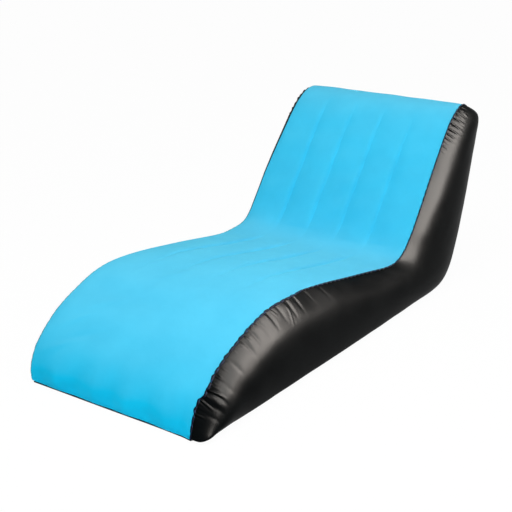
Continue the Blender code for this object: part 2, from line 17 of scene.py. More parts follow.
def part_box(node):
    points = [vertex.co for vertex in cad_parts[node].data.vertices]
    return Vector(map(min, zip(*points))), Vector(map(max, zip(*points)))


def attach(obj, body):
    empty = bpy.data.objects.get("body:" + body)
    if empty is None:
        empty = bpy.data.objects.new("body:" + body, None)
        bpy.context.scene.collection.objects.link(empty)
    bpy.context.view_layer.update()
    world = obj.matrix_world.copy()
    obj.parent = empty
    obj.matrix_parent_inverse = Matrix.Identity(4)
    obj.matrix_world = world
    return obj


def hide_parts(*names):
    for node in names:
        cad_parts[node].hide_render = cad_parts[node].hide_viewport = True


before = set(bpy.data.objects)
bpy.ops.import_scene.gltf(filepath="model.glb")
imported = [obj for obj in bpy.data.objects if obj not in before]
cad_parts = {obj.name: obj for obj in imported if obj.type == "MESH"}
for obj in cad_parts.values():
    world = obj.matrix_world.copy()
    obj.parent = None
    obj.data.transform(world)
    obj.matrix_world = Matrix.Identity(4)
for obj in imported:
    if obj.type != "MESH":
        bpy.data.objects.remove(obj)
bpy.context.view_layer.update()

# Side outline, measured from the front of the toe and from the floor: as in the solids, but with
# the ridge 4 mm higher, as the photo shows it
CREST_REACH = 0.390
CREST_HEIGHT = 0.2775
CREASE_REACH = 1.084
CREASE_HEIGHT = 0.190
RIDGE_REACH = 1.588
RIDGE_HEIGHT = 0.664
RIDGE_DEPTH = 0.096
RIDGE_DROP = 0.143
HEEL_REACH = 1.420
TOE_WELD_REACH = 0.006
SEAM_LIFT = 0.004

# Width and fullness
SEAM_WIDTH = 0.660
SIDE_BULGE = 0.048
FULL_SIDE_HEIGHT = 0.200
TOE_FULL_HEIGHT = 0.050
TOE_DRAW_IN = 0.022
TOE_DRAW_RUN = 1.200
TOE_FULL_RUN = 0.110
RIDGE_DRAW_IN = 0.016
RIDGE_DRAW_RUN = 0.730
TOP_CROWN = 0.008
BACK_CROWN = 0.012
CROWN_RUN = 0.070
FLAT_HALF_WIDTH = 0.270

# Films and welds
TOP_FILM = 0.0008
PANEL_FILM = 0.0006
WELD_RADIUS = 0.0025
GAP = 0.0003

# Ribs and valve
RIB_PITCH = 0.125
VALVE_HEIGHT = 0.205
VALVE_PATCH = 0.070
BORE_RADIUS = 0.0115

# Outline points between the named places above, as shares of the run from one to the next
TOE_SHARES = (
    (-0.003, 0.030), (-0.005, 0.144), (0.030, 0.274), (0.092, 0.422),
    (0.195, 0.562), (0.364, 0.732), (0.569, 0.850), (0.782, 0.962),
)
SEAT_SHARES = ((0.125, 0.011), (0.271, 0.068), (0.443, 0.294), (0.631, 0.573), (0.819, 0.814))
BACKREST_SHARES = (
    (0.108, 0.028), (0.180, 0.096), (0.258, 0.201), (0.376, 0.368),
    (0.535, 0.587), (0.658, 0.752), (0.780, 0.897), (0.890, 0.978),
)
REAR_SHARES = ((0.51, 0.11), (0.856, 0.357), (1.0, 0.678), (0.911, 1.0))
BACK_SHARES = ((0.094, 0.114), (0.286, 0.413), (0.482, 0.719), (0.601, 0.856), (0.775, 0.956))
FLOOR_SHARES = (0.097, 0.396, 0.708, 0.896, 0.986)

# Places of the outline that face each other across the side, counted in guide points
OUTLINE_POINTS = 40
BACK_WELD_POINT = 26
TOP_STOPS = (0, 3, 9, 14.7, 17.5, 18.3, 19, 22, 23.5, 26)
LOW_STOPS = (40, 38.6, 37, 34, 32)
HIGH_STOPS = (28.6, 27.5, 26)
FLAT_STOP = 34

# How full the sheets are between their edges: a higher power leaves them flatter at the edge of
# a side panel, and fuller at the edge of the top sheet
NEAR_TOP_POWER = 1.9
NEAR_LOW_PLACES = (0.0, 0.25, 0.80, 1.25, 1.60)
NEAR_LOW_POWERS = (0.32, 0.18, 0.26, 0.60, 0.45)
FAR_FULLNESS_POWERS = (1.7, 0.6)
CROWN_POWER = 4

# Fineness of the meshes
SAMPLES = 90
ROW_RUNS = (0.75, 1.42)
ROW_STEPS = (0.0018, 0.0046, 0.0018)
SIDE_COLUMNS = 36
MATCH_REACH = 0.09
CURVE_SAMPLES = 1200
TINY = 1e-12

# Seeds of the random draws
WAVE_SEED, FAR_SEED, LOW_SEED, WELD_SEED = 7, 11, 17, 23


# Outline of the seams


def metres(*rows):
    """Rows of measures that are given in millimetres."""
    return [tuple(value / 1000 for value in row) for row in rows]


def between(start, end, shares):
    """Points from start towards end, each a share of the run along y and of the rise along z."""
    run, rise = end[0] - start[0], end[1] - start[1]
    return [(start[0] + along * run, start[1] + up * rise) for along, up in shares]


def outline_points():
    """Guide points of the seam's closed side outline, (y, z), from the toe weld over the top."""
    weld = (TOE_WELD_REACH, SEAM_LIFT)
    crest = (CREST_REACH, CREST_HEIGHT)
    crease = (CREASE_REACH, CREASE_HEIGHT)
    ridge = (RIDGE_REACH, RIDGE_HEIGHT)
    rear = (RIDGE_REACH + RIDGE_DEPTH, RIDGE_HEIGHT - RIDGE_DROP)
    back = (RIDGE_REACH + RIDGE_DEPTH * REAR_SHARES[-1][0], rear[1])
    heel = (HEEL_REACH, SEAM_LIFT)
    points = [weld] + between((0, 0), crest, TOE_SHARES)
    points += [crest] + between(crest, crease, SEAT_SHARES)
    points += [crease] + between(crease, ridge, BACKREST_SHARES)
    points += [ridge] + between(ridge, rear, REAR_SHARES)
    points += between(back, heel, BACK_SHARES)
    points += [heel] + between(heel, weld, [(share, 0) for share in FLOOR_SHARES])
    return np.array(points)


def spline_points(guide, places):
    """Points of the closed cubic B-spline at places counted in guide points."""
    whole = np.floor(places).astype(int)
    t = (places - whole)[:, None]
    weights = ((1 - t) ** 3, 3 * t**3 - 6 * t**2 + 4, -3 * t**3 + 3 * t**2 + 3 * t + 1, t**3)
    near = [guide[(whole + k) % len(guide)] for k in (-1, 0, 1, 2)]
    return sum(weight * point for weight, point in zip(weights, near)) / 6


class Line:
    """One stretch of the outline, read by its length, with its outward direction."""

    def __init__(self, guide, start, end):
        self.places = np.linspace(start, end, int(abs(end - start) * SAMPLES) + 1)
        self.points = spline_points(guide, self.places)
        steps = np.linalg.norm(np.diff(self.points, axis=0), axis=1)
        self.lengths = np.concatenate([[0.0], np.cumsum(steps)])
        along = np.gradient(self.points, axis=0)
        along /= np.linalg.norm(along, axis=1, keepdims=True)
        turn = 1 if end > start else -1
        self.outward = turn * np.stack([-along[:, 1], along[:, 0]], axis=1)

    def length_at(self, place):
        """Length where the line passes this place."""
        order = np.argsort(self.places)
        return float(np.interp(place, self.places[order], self.lengths[order]))

    def length_at_height(self, height, low, high):
        """Length where the line, between two places, reaches this height."""
        inside = (self.lengths >= self.length_at(low)) & (self.lengths <= self.length_at(high))
        return float(np.interp(height, self.points[inside, 1], self.lengths[inside]))

    def read(self, values, lengths):
        """Pairs of values, one pair for each sample of the line, read at these lengths."""
        return np.stack([np.interp(lengths, self.lengths, values[:, k]) for k in (0, 1)], -1)

    def at(self, lengths, out=0.0):
        """Points of the line, moved outward by a height for each."""
        out = np.broadcast_to(out, np.shape(lengths))[..., None]
        return self.read(self.points, lengths) + self.read(self.outward, lengths) * out


def smoothed(values, reach):
    """A curve's values averaged over a window, with both ends kept."""
    window = np.hanning(2 * reach + 3)[1:-1]
    before = 2 * values[0] - values[reach:0:-1]
    after = 2 * values[-1] - values[-2:-reach - 2:-1]
    return np.convolve(np.concatenate([before, values, after]), window / window.sum(), "valid")


def facing_lengths(top, low):
    """For every sample of the top line, the length on the low line that faces it."""
    valve = low.length_at_height(VALVE_HEIGHT, LOW_STOPS[-1], HIGH_STOPS[0])
    low_stops = [low.length_at(place) for place in LOW_STOPS]
    low_stops += [valve - VALVE_PATCH / 2, valve + VALVE_PATCH / 2]
    low_stops += [low.length_at(place) for place in HIGH_STOPS]
    even = np.linspace(0.0, top.lengths[-1], len(top.lengths))
    matched = np.interp(even, [top.length_at(stop) for stop in TOP_STOPS], low_stops)
    reach = round(MATCH_REACH / (even[1] - even[0]))
    return np.interp(top.lengths, even, smoothed(matched, reach)), low_stops[len(LOW_STOPS)]


GUIDE = outline_points()
TOP = Line(GUIDE, 0, BACK_WELD_POINT)
LOW = Line(GUIDE, OUTLINE_POINTS, BACK_WELD_POINT)
FACING, BACK_START = facing_lengths(TOP, LOW)
TOP_LENGTH = TOP.lengths[-1]
LOW_LENGTH = LOW.lengths[-1]
MIDDLE_REACH = TOP.points[0, 0] - sum(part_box("toe_weld"), Vector()).y / 2
RIBS = tuple(RIB_PITCH * turn for turn in (-1.5, -0.5, 0.5, 1.5))
NEAR, FAR = 1, -1


def row_lengths():
    """Lengths along the top seam of the meshes' rows, finest at the toe and at the backrest."""
    stops = (0.0, *ROW_RUNS, TOP_LENGTH)
    runs = [
        np.linspace(start, end, round((end - start) / step), endpoint=False)
        for start, end, step in zip(stops, stops[1:], ROW_STEPS)
    ]
    return np.concatenate([*runs, [TOP_LENGTH]])


ROWS = row_lengths()


def facing_low(lengths):
    """Lengths on the low line that face these lengths of the top line."""
    return np.interp(lengths, TOP.lengths, FACING)


def facing_top(lengths):
    """Lengths on the top line that face these lengths of the low line."""
    return np.interp(lengths, FACING, TOP.lengths)


def smooth_curve(lengths, places, values, reach):
    """A curve through values at places along the top line, with its corners rounded."""
    even = np.linspace(0.0, TOP_LENGTH, CURVE_SAMPLES)
    window = round(reach / (even[1] - even[0]))
    return np.interp(lengths, even, smoothed(np.interp(even, places, values), window))


# Widths and heights across the outline


def fade(lengths, run):
    """1 at the start of a run, easing to 0 at its end."""
    return (1 - np.minimum(lengths / run, 1.0)) ** 2


def eased(values):
    """Values clipped to 0 and 1, with a smooth start and end."""
    t = np.clip(values, 0.0, 1.0)
    return t * t * (3 - 2 * t)


def bell(offsets, width):
    """1 in the middle of a bell, falling to 0 on both sides of it."""
    return np.exp(-((offsets / width) ** 2))


def toe_draw_in(lengths):
    """How far each seam is drawn in towards the toe."""
    return TOE_DRAW_IN * fade(lengths, TOE_DRAW_RUN)


def seam_half_width(lengths):
    """Half the width between the two seams, without their waves."""
    drawn = toe_draw_in(lengths) + RIDGE_DRAW_IN * fade(TOP_LENGTH - lengths, RIDGE_DRAW_RUN)
    return SEAM_WIDTH / 2 - drawn


def film_inset(film):
    """How far a sheet's edge stays from the seam line, to leave room for the weld."""
    return WELD_RADIUS + GAP + film / 2


def rounded(lengths, total):
    """0 at both ends of a line, rising to 1 within the crown's run."""
    near = np.minimum(np.minimum(lengths, total - lengths), CROWN_RUN) / CROWN_RUN
    return np.sin(near * math.pi / 2)


# Waves of the seam: length along it, and how far it stands out sideways past the plain outline
NEAR_WAVES = metres(
    (0, 4), (50, 1), (100, 0), (116, 1), (130, 12), (150, 13), (175, 9), (200, 7), (240, 7.5),
    (325, 6), (377, 4), (420, 3), (484, 1.5), (556, 4), (599, 4), (645, -2), (700, 0), (753, 2),
    (880, 0), (970, -3), (1052, -3), (1130, 2), (1179, 6), (1262, 5), (1310, 7), (1345, 8),
    (1376, 9), (1476, 9), (1599, 8), (1720, 8), (1812, 8), (1878, 9), (1949, 4),
)
FAR_WAVES = metres(
    (0, 0), (50, 3), (110, 5), (160, 3), (250, 4), (360, 3), (500, 2), (660, -1), (850, 0),
    (1100, 4), (1300, 6), (1500, 9), (1620, 5), (1700, 2), (1850, 0),
)
WAVE_REACH = 0.010

# How far down the side panel the waves fade, at lengths along the seam, and the notches
WAVE_FADE_PLACES = (0.50, 1.10)
WAVE_FADES = (0.060, 0.150)
NOTCH_FADE = 0.060

# Notches of the seam between two puckers' pillows: length along it and depth
NEAR_NOTCHES = metres(
    (88, 2.5), (119, 3), (147, 4), (190, 2), (257, 2.5), (332, 3.5), (373, 2.5), (418, 1.5),
    (464, 2.5), (510, 1.5), (556, 3), (595, 3), (660, 1), (735, 1), (820, 1),
)
FAR_NOTCHES = metres(
    (100, 0.6), (141, 0.8), (205, 0.6), (270, 0.6), (345, 0.6), (405, 0.5), (470, 0.6),
    (548, 0.6), (620, 0.4), (700, 0.3),
)
NOTCH_WIDTH = 0.007


def slow_wave(side, lengths):
    """How far a seam stands out sideways past its plain half width, without its notches."""
    waves = NEAR_WAVES if side == NEAR else FAR_WAVES
    places, sizes = np.array([*waves, (TOP_LENGTH, 0.0)]).T
    return smooth_curve(lengths, places, sizes, WAVE_REACH) * rounded(lengths, TOP_LENGTH)


def notches(side, lengths):
    """How far a seam's notches draw it in."""
    depths = sum(
        depth * bell(lengths - place, NOTCH_WIDTH)
        for place, depth in (NEAR_NOTCHES if side == NEAR else FAR_NOTCHES)
    )
    return depths * rounded(lengths, TOP_LENGTH)


def seam_wave(side, lengths):
    """How far a seam stands out sideways past its plain half width."""
    return slow_wave(side, lengths) - notches(side, lengths)


# Ribs of the frame, which the sheets have to clear

RIB_ROOM = 0.0102
RIB_CLEARANCE = 0.0004
RIB_BIN = 0.010
RIB_REACH = 0.017
RIB_EDGE_SAMPLES = 7
RIB_CURVE_STEP = 6


def rib_heights(line, x_of_rib):
    """Lengths along a line and how far the edges of the ribs at this x reach out there."""
    lengths, heights = [], []
    curve, outward = line.points[::RIB_CURVE_STEP], line.outward[::RIB_CURVE_STEP]
    for name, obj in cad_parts.items():
        if "_rib_" not in name or abs(sum(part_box(name), Vector()).x / 2 - x_of_rib) > RIB_ROOM:
            continue
        corners = np.array([vertex.co for vertex in obj.data.vertices])[:, 1:]
        ends = corners[np.array([edge.vertices[:] for edge in obj.data.edges])]
        for share in np.linspace(0.0, 1.0, RIB_EDGE_SAMPLES):
            points = ends[:, 0] + share * (ends[:, 1] - ends[:, 0]) + (MIDDLE_REACH, 0.0)
            near = np.argmin(np.linalg.norm(points[:, None] - curve, axis=-1), axis=1)
            lengths.extend(line.lengths[::RIB_CURVE_STEP][near])
            heights.extend(np.sum((points - curve[near]) * outward[near], axis=1))
    return np.array(lengths), np.array(heights)


def rib_limits(line, film):
    """For each rib, a curve that the sheet's outer face must not go under."""
    places = np.arange(0.0, line.lengths[-1] + RIB_BIN, RIB_BIN)
    limits = []
    for rib in RIBS:
        lengths, heights = rib_heights(line, rib)
        tops = np.full(len(places), -1.0)
        for k, place in enumerate(places):
            near = np.abs(lengths - place) < RIB_REACH
            if near.any():
                tops[k] = heights[near].max()
        limits.append(tops + film + RIB_CLEARANCE)
    return places, limits


def above_ribs(line, limits, lengths, x, height):
    """Height of a sheet, raised where a rib would come through."""
    places, curves = limits
    for rib, tops in zip(RIBS, curves):
        limit = np.interp(lengths, places, tops)
        height = np.where(np.abs(x - rib) < RIB_ROOM, np.maximum(height, limit), height)
    return height


# Meshes


def new_object(name, data):
    """A new object in the scene."""
    obj = bpy.data.objects.new(name, data)
    bpy.context.scene.collection.objects.link(obj)
    return obj


def mesh_object(name, bm):
    """A new object with this mesh."""
    mesh = bpy.data.meshes.new(name)
    bm.to_mesh(mesh)
    bm.free()
    return new_object(name, mesh)


def finished(name, bm, look, node):
    """Turns a mesh into a piece of the root body that stands for this node."""
    obj = mesh_object(name, bm)
    obj.data.materials.append(look)
    obj.data.shade_smooth()
    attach(obj, "root")
    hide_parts(node)
    return obj


# Places where the films are drawn out of the plain outline together: middle and radii of each
# place, in x, reach and height, and how far they are drawn there
PULLS = (
    ((0.308, 0, 0), (0.10, 0.035, 0.035), (0.006, -0.006, -0.002)),
    ((0.335, 0, 0), (0.035, 0.035, 0.035), (0, -0.011, 0)),
    ((0.100, 0, 0), (0.26, 0.030, 0.025), (0, -0.004, 0)),
    ((-0.330, 0.600, 0.265), (0.07, 0.160, 0.100), (0, 0, -0.007)),
    ((-0.330, 1.095, 0.195), (0.09, 0.070, 0.060), (0, -0.003, 0.010)),
)


def placed(x, yz):
    """Points of the part's frame from their x and their reach and height."""
    points = np.stack(np.broadcast_arrays(x, yz[..., 0], yz[..., 1]), axis=-1)
    moved = points.copy()
    for middle, radii, pull in PULLS:
        away = np.linalg.norm((points - middle) / radii, axis=-1)
        moved += bell(away, 1.0)[..., None] * np.array(pull)
    return moved - (0.0, MIDDLE_REACH, 0.0)


def grid_mesh(points, flip=False):
    """Faces over a grid of points. Rows that shrink to one point are merged."""
    rows, columns = points.shape[:2]
    index = np.arange(rows * columns).reshape(rows, columns)
    corners = [index[:-1, :-1], index[:-1, 1:], index[1:, 1:], index[1:, :-1]]
    quads = np.stack(corners[::-1] if flip else corners, axis=-1).reshape(-1, 4)
    mesh = bpy.data.meshes.new("grid")
    mesh.from_pydata(points.reshape(-1, 3).tolist(), [], quads.tolist())
    bm = bmesh.new()
    bm.from_mesh(mesh)
    bpy.data.meshes.remove(mesh)
    bmesh.ops.remove_doubles(bm, verts=bm.verts, dist=GAP / 10)
    return bm


def normals_of(points):
    """Unit normals of a grid of points, by its two directions."""
    along, across = np.gradient(points, axis=0), np.gradient(points, axis=1)
    normals = np.cross(across, along)
    return normals / np.maximum(np.linalg.norm(normals, axis=-1, keepdims=True), TINY)


def add_film(obj, thickness):
    """The film's thickness, inside its outer face."""
    film = obj.modifiers.new("film", "SOLIDIFY")
    film.thickness = thickness
    film.offset = -1
    film.use_even_offset = True


# Top sheet: channels between the grooves, soft folds and flutes at the toe

# Grooves: depth, how gently it changes, and the share of it at lengths along the seam
GROOVE_DEPTH = 0.009
GROOVE_REACH = 0.030
GROOVE_PLACES = (0.42, 0.56, 0.78, 1.00, 1.13, 1.21, 1.27, 1.34, 1.42, 1.60, 1.76, 1.86)
GROOVE_DEPTH_SHARES = (0.0, 0.16, 0.70, 0.95, 0.75, 0.12, 0.15, 0.85, 1.0, 0.95, 0.70, 0.0)
# How much lower each groove starts under the top edge, from left to right
GROOVE_TOP_DROPS = (0.0, 0.012, 0.022, 0.040)
# Width of a groove's steep left and gentle right slope, on the backrest and on the seat
LIP_RUN = 0.020
RISE_RUN = 0.056
SEAT_LIP_RUN = 0.020
SEAT_RISE_RUN = 0.030
SEAT_TO_BACK = (1.20, 1.36)

# How the seat stands up between its outer channels
SEAT_PUFF = 0.0045
PUFF_PLACES = (0.50, 0.75, 1.08, 1.22)
PUFF_HALF_WIDTH = 0.22
PUFF_EASE_RUN = 0.08

# Columns of the mesh beside each rib, and towards the edges, as shares of the margin
COLUMN_OFFSETS = (
    -0.040, -0.030, -0.022, -0.016, -0.012, -0.0101, -0.0075, -0.006, -0.0045, -0.003, -0.0015,
    0.0, 0.002, 0.005, 0.0101, 0.014, 0.021, 0.030, 0.042, 0.055, 0.070,
)
MARGIN_SHARES = (0.22, 0.44, 0.64, 0.80, 0.90, 0.96, 1.0)

# Flutes at the toe: x, height and half width
FLUTES = metres(
    (-262, -6, 20), (-200, 9, 26), (-125, -10, 26), (-45, 9, 24), (15, -9, 22), (75, 9, 24),
    (145, -10, 26), (220, 10, 28), (275, -7, 16),
)
FLUTE_RUN = 0.200
FLUTE_START = 0.035
TOE_BOW = 0.0003
TOE_BOW_RUN = 0.050

# Soft folds: length along the seam, x, half length, half width, turn in degrees and height
FOLDS = (
    (0.13, -0.235, 0.05, 0.01, 60, 0.0022), (0.225, -0.225, 0.06, 0.011, 50, 0.002),
    (0.19, -0.15, 0.045, 0.012, 65, -0.0018), (0.33, -0.14, 0.07, 0.016, 60, 0.0016),
    (0.56, 0.02, 0.08, 0.016, 25, 0.0016), (0.52, -0.06, 0.09, 0.018, 30, 0.0016),
    (0.42, 0.12, 0.07, 0.018, -50, 0.0014), (0.62, 0.16, 0.08, 0.018, -30, 0.0016),
    (1.3, 0.235, 0.035, 0.006, 85, -0.0022), (1.285, 0.13, 0.045, 0.006, 95, -0.0018),
    (1.3, -0.11, 0.06, 0.007, 88, -0.0016), (1.56, -0.125, 0.05, 0.014, 15, 0.0022),
    (1.5, -0.145, 0.06, 0.01, 10, -0.0022), (1.47, 0.01, 0.045, 0.012, -12, -0.0018),
    (1.64, 0.23, 0.06, 0.014, 20, 0.0014), (1.75, 0.255, 0.045, 0.012, -25, 0.0012),
)
SOFT_WAVE = 0.0011
SOFT_WAVE_COUNT = 26
SOFT_WAVE_SIZES = (0.06, 0.22)
SOFT_WAVE_SHARES = (0.4, 1.0)
SOFT_WAVE_SPREAD = 6

# Fullness across: less near the ridge, squarer on the far half, with a bolster at the crease
RIDGE_CROWN_SHARE = 0.25
RIDGE_CROWN_START = 0.10
RIDGE_CROWN_RUN = 0.20
EDGE_SHARE = 0.12
FAR_CROWN_POWER = 14
FAR_SEAT_CROWN_POWER = 5
FAR_SEAT_PLACE = 0.78
FAR_SEAT_RUN = 0.20
BOLSTER_PLACE = 1.215
BOLSTER_RUN = 0.070
BOLSTER_HEIGHT = 0.004
BOLSTER_START = 0.16
BOLSTER_EASE_RUN = 0.12
TOP_LIMITS = rib_limits(TOP, TOP_FILM)


def groove_shares(lengths, drop):
    """Share of the grooves' depth along the seam. The drop lowers a groove's top end."""
    places = np.array(GROOVE_PLACES)
    places[-2:] -= drop
    return smooth_curve(lengths, places, GROOVE_DEPTH_SHARES, GROOVE_REACH)


def groove_form(offsets, on_back):
    """Cross form of a groove: the left channel rolls down into it, a longer rise to the right."""
    lip_run = SEAT_LIP_RUN + (LIP_RUN - SEAT_LIP_RUN) * on_back
    rise_run = SEAT_RISE_RUN + (RISE_RUN - SEAT_RISE_RUN) * on_back
    away = np.where(offsets < 0, -offsets / lip_run, offsets / rise_run)
    return (1 - np.minimum(away, 1.0)) ** 2


def soft_waves(lengths, x):
    """Slow uneven rise and fall of a sheet of film, the same each run."""
    random = np.random.default_rng(WAVE_SEED)
    total = np.zeros(np.broadcast(lengths, x).shape)
    for _ in range(SOFT_WAVE_COUNT):
        turn, size = random.uniform(0, 2 * math.pi), random.uniform(*SOFT_WAVE_SIZES)
        phase, share = random.uniform(0, 2 * math.pi), random.uniform(*SOFT_WAVE_SHARES)
        way = lengths * math.cos(turn) + x * math.sin(turn)
        total += share * np.sin(2 * math.pi * way / size + phase)
    return total / SOFT_WAVE_SPREAD


def folds(lengths, x, table):
    """Soft ridges and hollows, each a long bell turned in the sheet."""
    total = np.zeros(np.broadcast(lengths, x).shape)
    for place, across, half_length, half_width, turn, height in table:
        c, s = math.cos(math.radians(turn)), math.sin(math.radians(turn))
        along = (lengths - place) * c + (x - across) * s
        beside = (x - across) * c - (lengths - place) * s
        total += height * bell(along, half_length) * bell(beside, half_width)
    return total


def columns(edge_left, edge_right, offsets):
    """x of every column of a row: fine beside the ribs and towards the edges."""
    inner = np.concatenate([rib + np.array(offsets) for rib in RIBS])
    shares = np.array(MARGIN_SHARES)
    left = inner[0] + (edge_left[:, None] - inner[0]) * shares[::-1]
    right = inner[-1] + (edge_right[:, None] - inner[-1]) * shares
    middle = np.broadcast_to(inner, (len(edge_left), len(inner)))
    return np.concatenate([left, middle, right], axis=1)


def top_height(lengths, x):
    """How far the top sheet stands out from the seam line."""
    half = seam_half_width(lengths)
    across = np.clip(np.abs(x) / half, 0.0, 1.0)
    below_ridge = eased((TOP_LENGTH - lengths - RIDGE_CROWN_START) / RIDGE_CROWN_RUN)
    crown = RIDGE_CROWN_SHARE + (1 - RIDGE_CROWN_SHARE) * below_ridge
    crown = TOP_CROWN * rounded(lengths, TOP_LENGTH) * crown
    on_seat = bell(lengths - FAR_SEAT_PLACE, FAR_SEAT_RUN)
    far_power = FAR_CROWN_POWER + (FAR_SEAT_CROWN_POWER - FAR_CROWN_POWER) * on_seat
    power = np.where(x < 0, far_power, CROWN_POWER)
    height = crown * (1 - across**power)
    bolster = bell(lengths - BOLSTER_PLACE, BOLSTER_RUN)
    bolster = bolster * eased((-x - BOLSTER_START) / BOLSTER_EASE_RUN)
    height = height + BOLSTER_HEIGHT * bolster * (1 - across**FAR_CROWN_POWER)
    on_back = eased((lengths - SEAT_TO_BACK[0]) / (SEAT_TO_BACK[1] - SEAT_TO_BACK[0]))
    for rib, drop in zip(RIBS, GROOVE_TOP_DROPS):
        shares = groove_shares(lengths, drop)
        height = height - GROOVE_DEPTH * shares * groove_form(x - rib, on_back)
    puff = SEAT_PUFF * np.interp(lengths, PUFF_PLACES, (0.0, 1.0, 1.0, 0.0))
    height = height + puff * (1 - eased((np.abs(x) - PUFF_HALF_WIDTH) / PUFF_EASE_RUN))
    inside = eased((1 - across) / EDGE_SHARE)
    flute = fade(lengths, FLUTE_RUN) * eased(lengths / FLUTE_START)
    for place, size, width in FLUTES:
        height = height + size * bell(x - place, width) * flute * inside
    height = height + inside * folds(lengths, x, FOLDS)
    height = height + inside * SOFT_WAVE * soft_waves(lengths, x) * rounded(lengths, TOP_LENGTH)
    return above_ribs(TOP, TOP_LIMITS, lengths, x, height)


def toe_bow(lengths, x):
    """How far the toe's lower edge is lifted off the floor, most in its middle."""
    across = np.clip(np.abs(x) / seam_half_width(lengths), 0.0, 1.0)
    return TOE_BOW * (1 - across**2) * fade(lengths, TOE_BOW_RUN)


def top_sheet(look):
    """The blue sheet from the toe over the seat and the backrest to the back."""
    inset = film_inset(TOP_FILM)
    lengths = np.clip(ROWS[::2], inset, TOP_LENGTH - inset)
    lengths = np.append(lengths[lengths < TOP_LENGTH - inset], TOP_LENGTH - inset)
    edges = [seam_half_width(lengths) - inset + seam_wave(side, lengths) for side in (FAR, NEAR)]
    x = columns(-edges[0], edges[1], COLUMN_OFFSETS)
    rows = lengths[:, None]
    yz = TOP.at(np.broadcast_to(rows, x.shape), top_height(rows, x))
    yz[..., 1] += toe_bow(rows, x)
    points = placed(x, yz)
    points[..., 2] = np.maximum(points[..., 2], GAP)
    sheet = finished("top_sheet_skin", grid_mesh(points), look, "top_sheet")
    add_film(sheet, TOP_FILM)
    return sheet


# Side panels: the full side, puckers that run in from the seam, and finer ones all round

# Puckers at the near seam: length along it, where the pucker starts and ends away from the
# seam, its depth, its half width and how far its inner end leans along the seam
PUCKERS_SEEN = metres(
    (76, 0, 36, 3.4, 4.2, -1), (98, 0, 22, 1.4, 3.6, -3), (119, 0, 46, 5.6, 4.8, -12),
    (134, 0, 24, 1.6, 3.6, -4), (150, 0, 58, 6.6, 5.0, 8), (164, 2, 32, 2.4, 3.6, 6),
    (176, 0, 18, 1.8, 3.4, 0), (193, 4, 36, 2.0, 3.8, 6), (203, 4, 32, 1.7, 3.6, -4),
    (224, 4, 30, 1.2, 4.0, 2), (243, 0, 14, 0.8, 4.0, 0), (262, 0, 18, 0.9, 4.4, 3),
    (290, 0, 19, 0.8, 4.4, -2), (319, 0, 21, 1.4, 4.2, 0), (334, 0, 19, 1.5, 3.6, 2),
    (348, 0, 29, 2.3, 4.4, 0), (358, 4, 28, 1.4, 3.6, -5), (379, 0, 18, 1.3, 4.0, 2),
    (401, 0, 26, 1.4, 4.4, 6), (424, 0, 16, 0.6, 4.0, 0), (452, 0, 19, 0.7, 4.4, -2),
    (481, 0, 35, 1.3, 5.0, 12), (514, 0, 16, 0.6, 4.4, 3), (556, 0, 27, 1.3, 5.0, -4),
    (545, 22, 88, 1.7, 5.2, -20), (575, 0, 21, 0.6, 5.0, -6), (596, 0, 24, 1.0, 5.0, -4),
    (640, 0, 16, 0.7, 6.0, 0), (1694, 0, 26, 1.4, 4.4, -6), (1714, 0, 34, 2.4, 4.4, -10),
    (1731, 0, 28, 1.6, 4.0, -7), (1746, 0, 44, 3.2, 4.4, -8), (1764, 0, 48, 4.2, 4.6, -10),
    (1783, 0, 54, 5.0, 4.8, -6), (1808, 0, 56, 5.6, 5.2, -11), (1834, 0, 52, 5.0, 5.2, -6),
    (1858, 0, 46, 4.0, 4.8, -9), (1880, 0, 50, 4.8, 5.2, -10), (1906, 0, 38, 2.6, 4.8, 0),
    (1932, 0, 30, 1.8, 4.8, 0), (1962, 0, 28, 1.8, 5.0, 0), (1992, 0, 24, 1.6, 5.0, 0),
)

# Where the panels are full: from the toe on, higher up the side and at the backrest
CORNER_REACH = 0.095
TOE_FULL_LENGTHS = (0.10, 0.35)
REST_BULGE = 0.004
REST_BULGE_PLACE = 1.62
REST_BULGE_RUN = 0.24
FAR_FULL_RUN = 0.520

# Form of a pucker: how soon it starts, how it narrows and fades, and its two low shoulders
PUCKER_START = 0.003
PUCKER_RISE_SHARE = 0.15
PUCKER_FADE_POWER = 1.3
PUCKER_SHARPNESS = 0.62
PUCKER_WIDTH = 0.75
PUCKER_WIDENING = 0.6
PUCKER_SHOULDER = 0.42
SHOULDER_PLACE = 1.9
SHOULDER_WIDTH = 0.9

# How the far puckers differ from the near ones: shift and start, and ranges of their shares
FAR_PUCKER_SHIFT = 0.007
FAR_PUCKER_START = 0.010
FAR_REACHES = (0.75, 1.2)
FAR_DEPTHS = (0.6, 1.0)
FAR_WIDTHS = (0.9, 1.25)

# Puckers along the low seam: margins at its ends, pitch and sizes, and their depth on the floor
LOW_PUCKER_MARGINS = (0.04, 0.03)
LOW_PUCKER_PITCH = 0.030
LOW_PITCHES = (0.6, 1.8)
LOW_REACHES = (0.014, 0.034)
LOW_DEPTHS = (0.0008, 0.0026)
LOW_WIDTHS = (0.0036, 0.0052)
LOW_LEANS = (-0.006, 0.006)
HEEL_RUN = 0.30
FLOOR_DEPTH_SHARE = 0.35

# Soft waves of the side, and how far from its seams they start
SIDE_WAVE = 0.0006
SIDE_WAVE_ROOM = 0.06
SIDE_WAVE_MARGIN = 0.02


def pucker_form(offsets, width):
    """Cross form of a pucker: a sharp valley between two low shoulders."""
    shoulders = bell(np.abs(offsets) - SHOULDER_PLACE * width, SHOULDER_WIDTH * width)
    return PUCKER_SHOULDER * shoulders - bell(offsets, width)


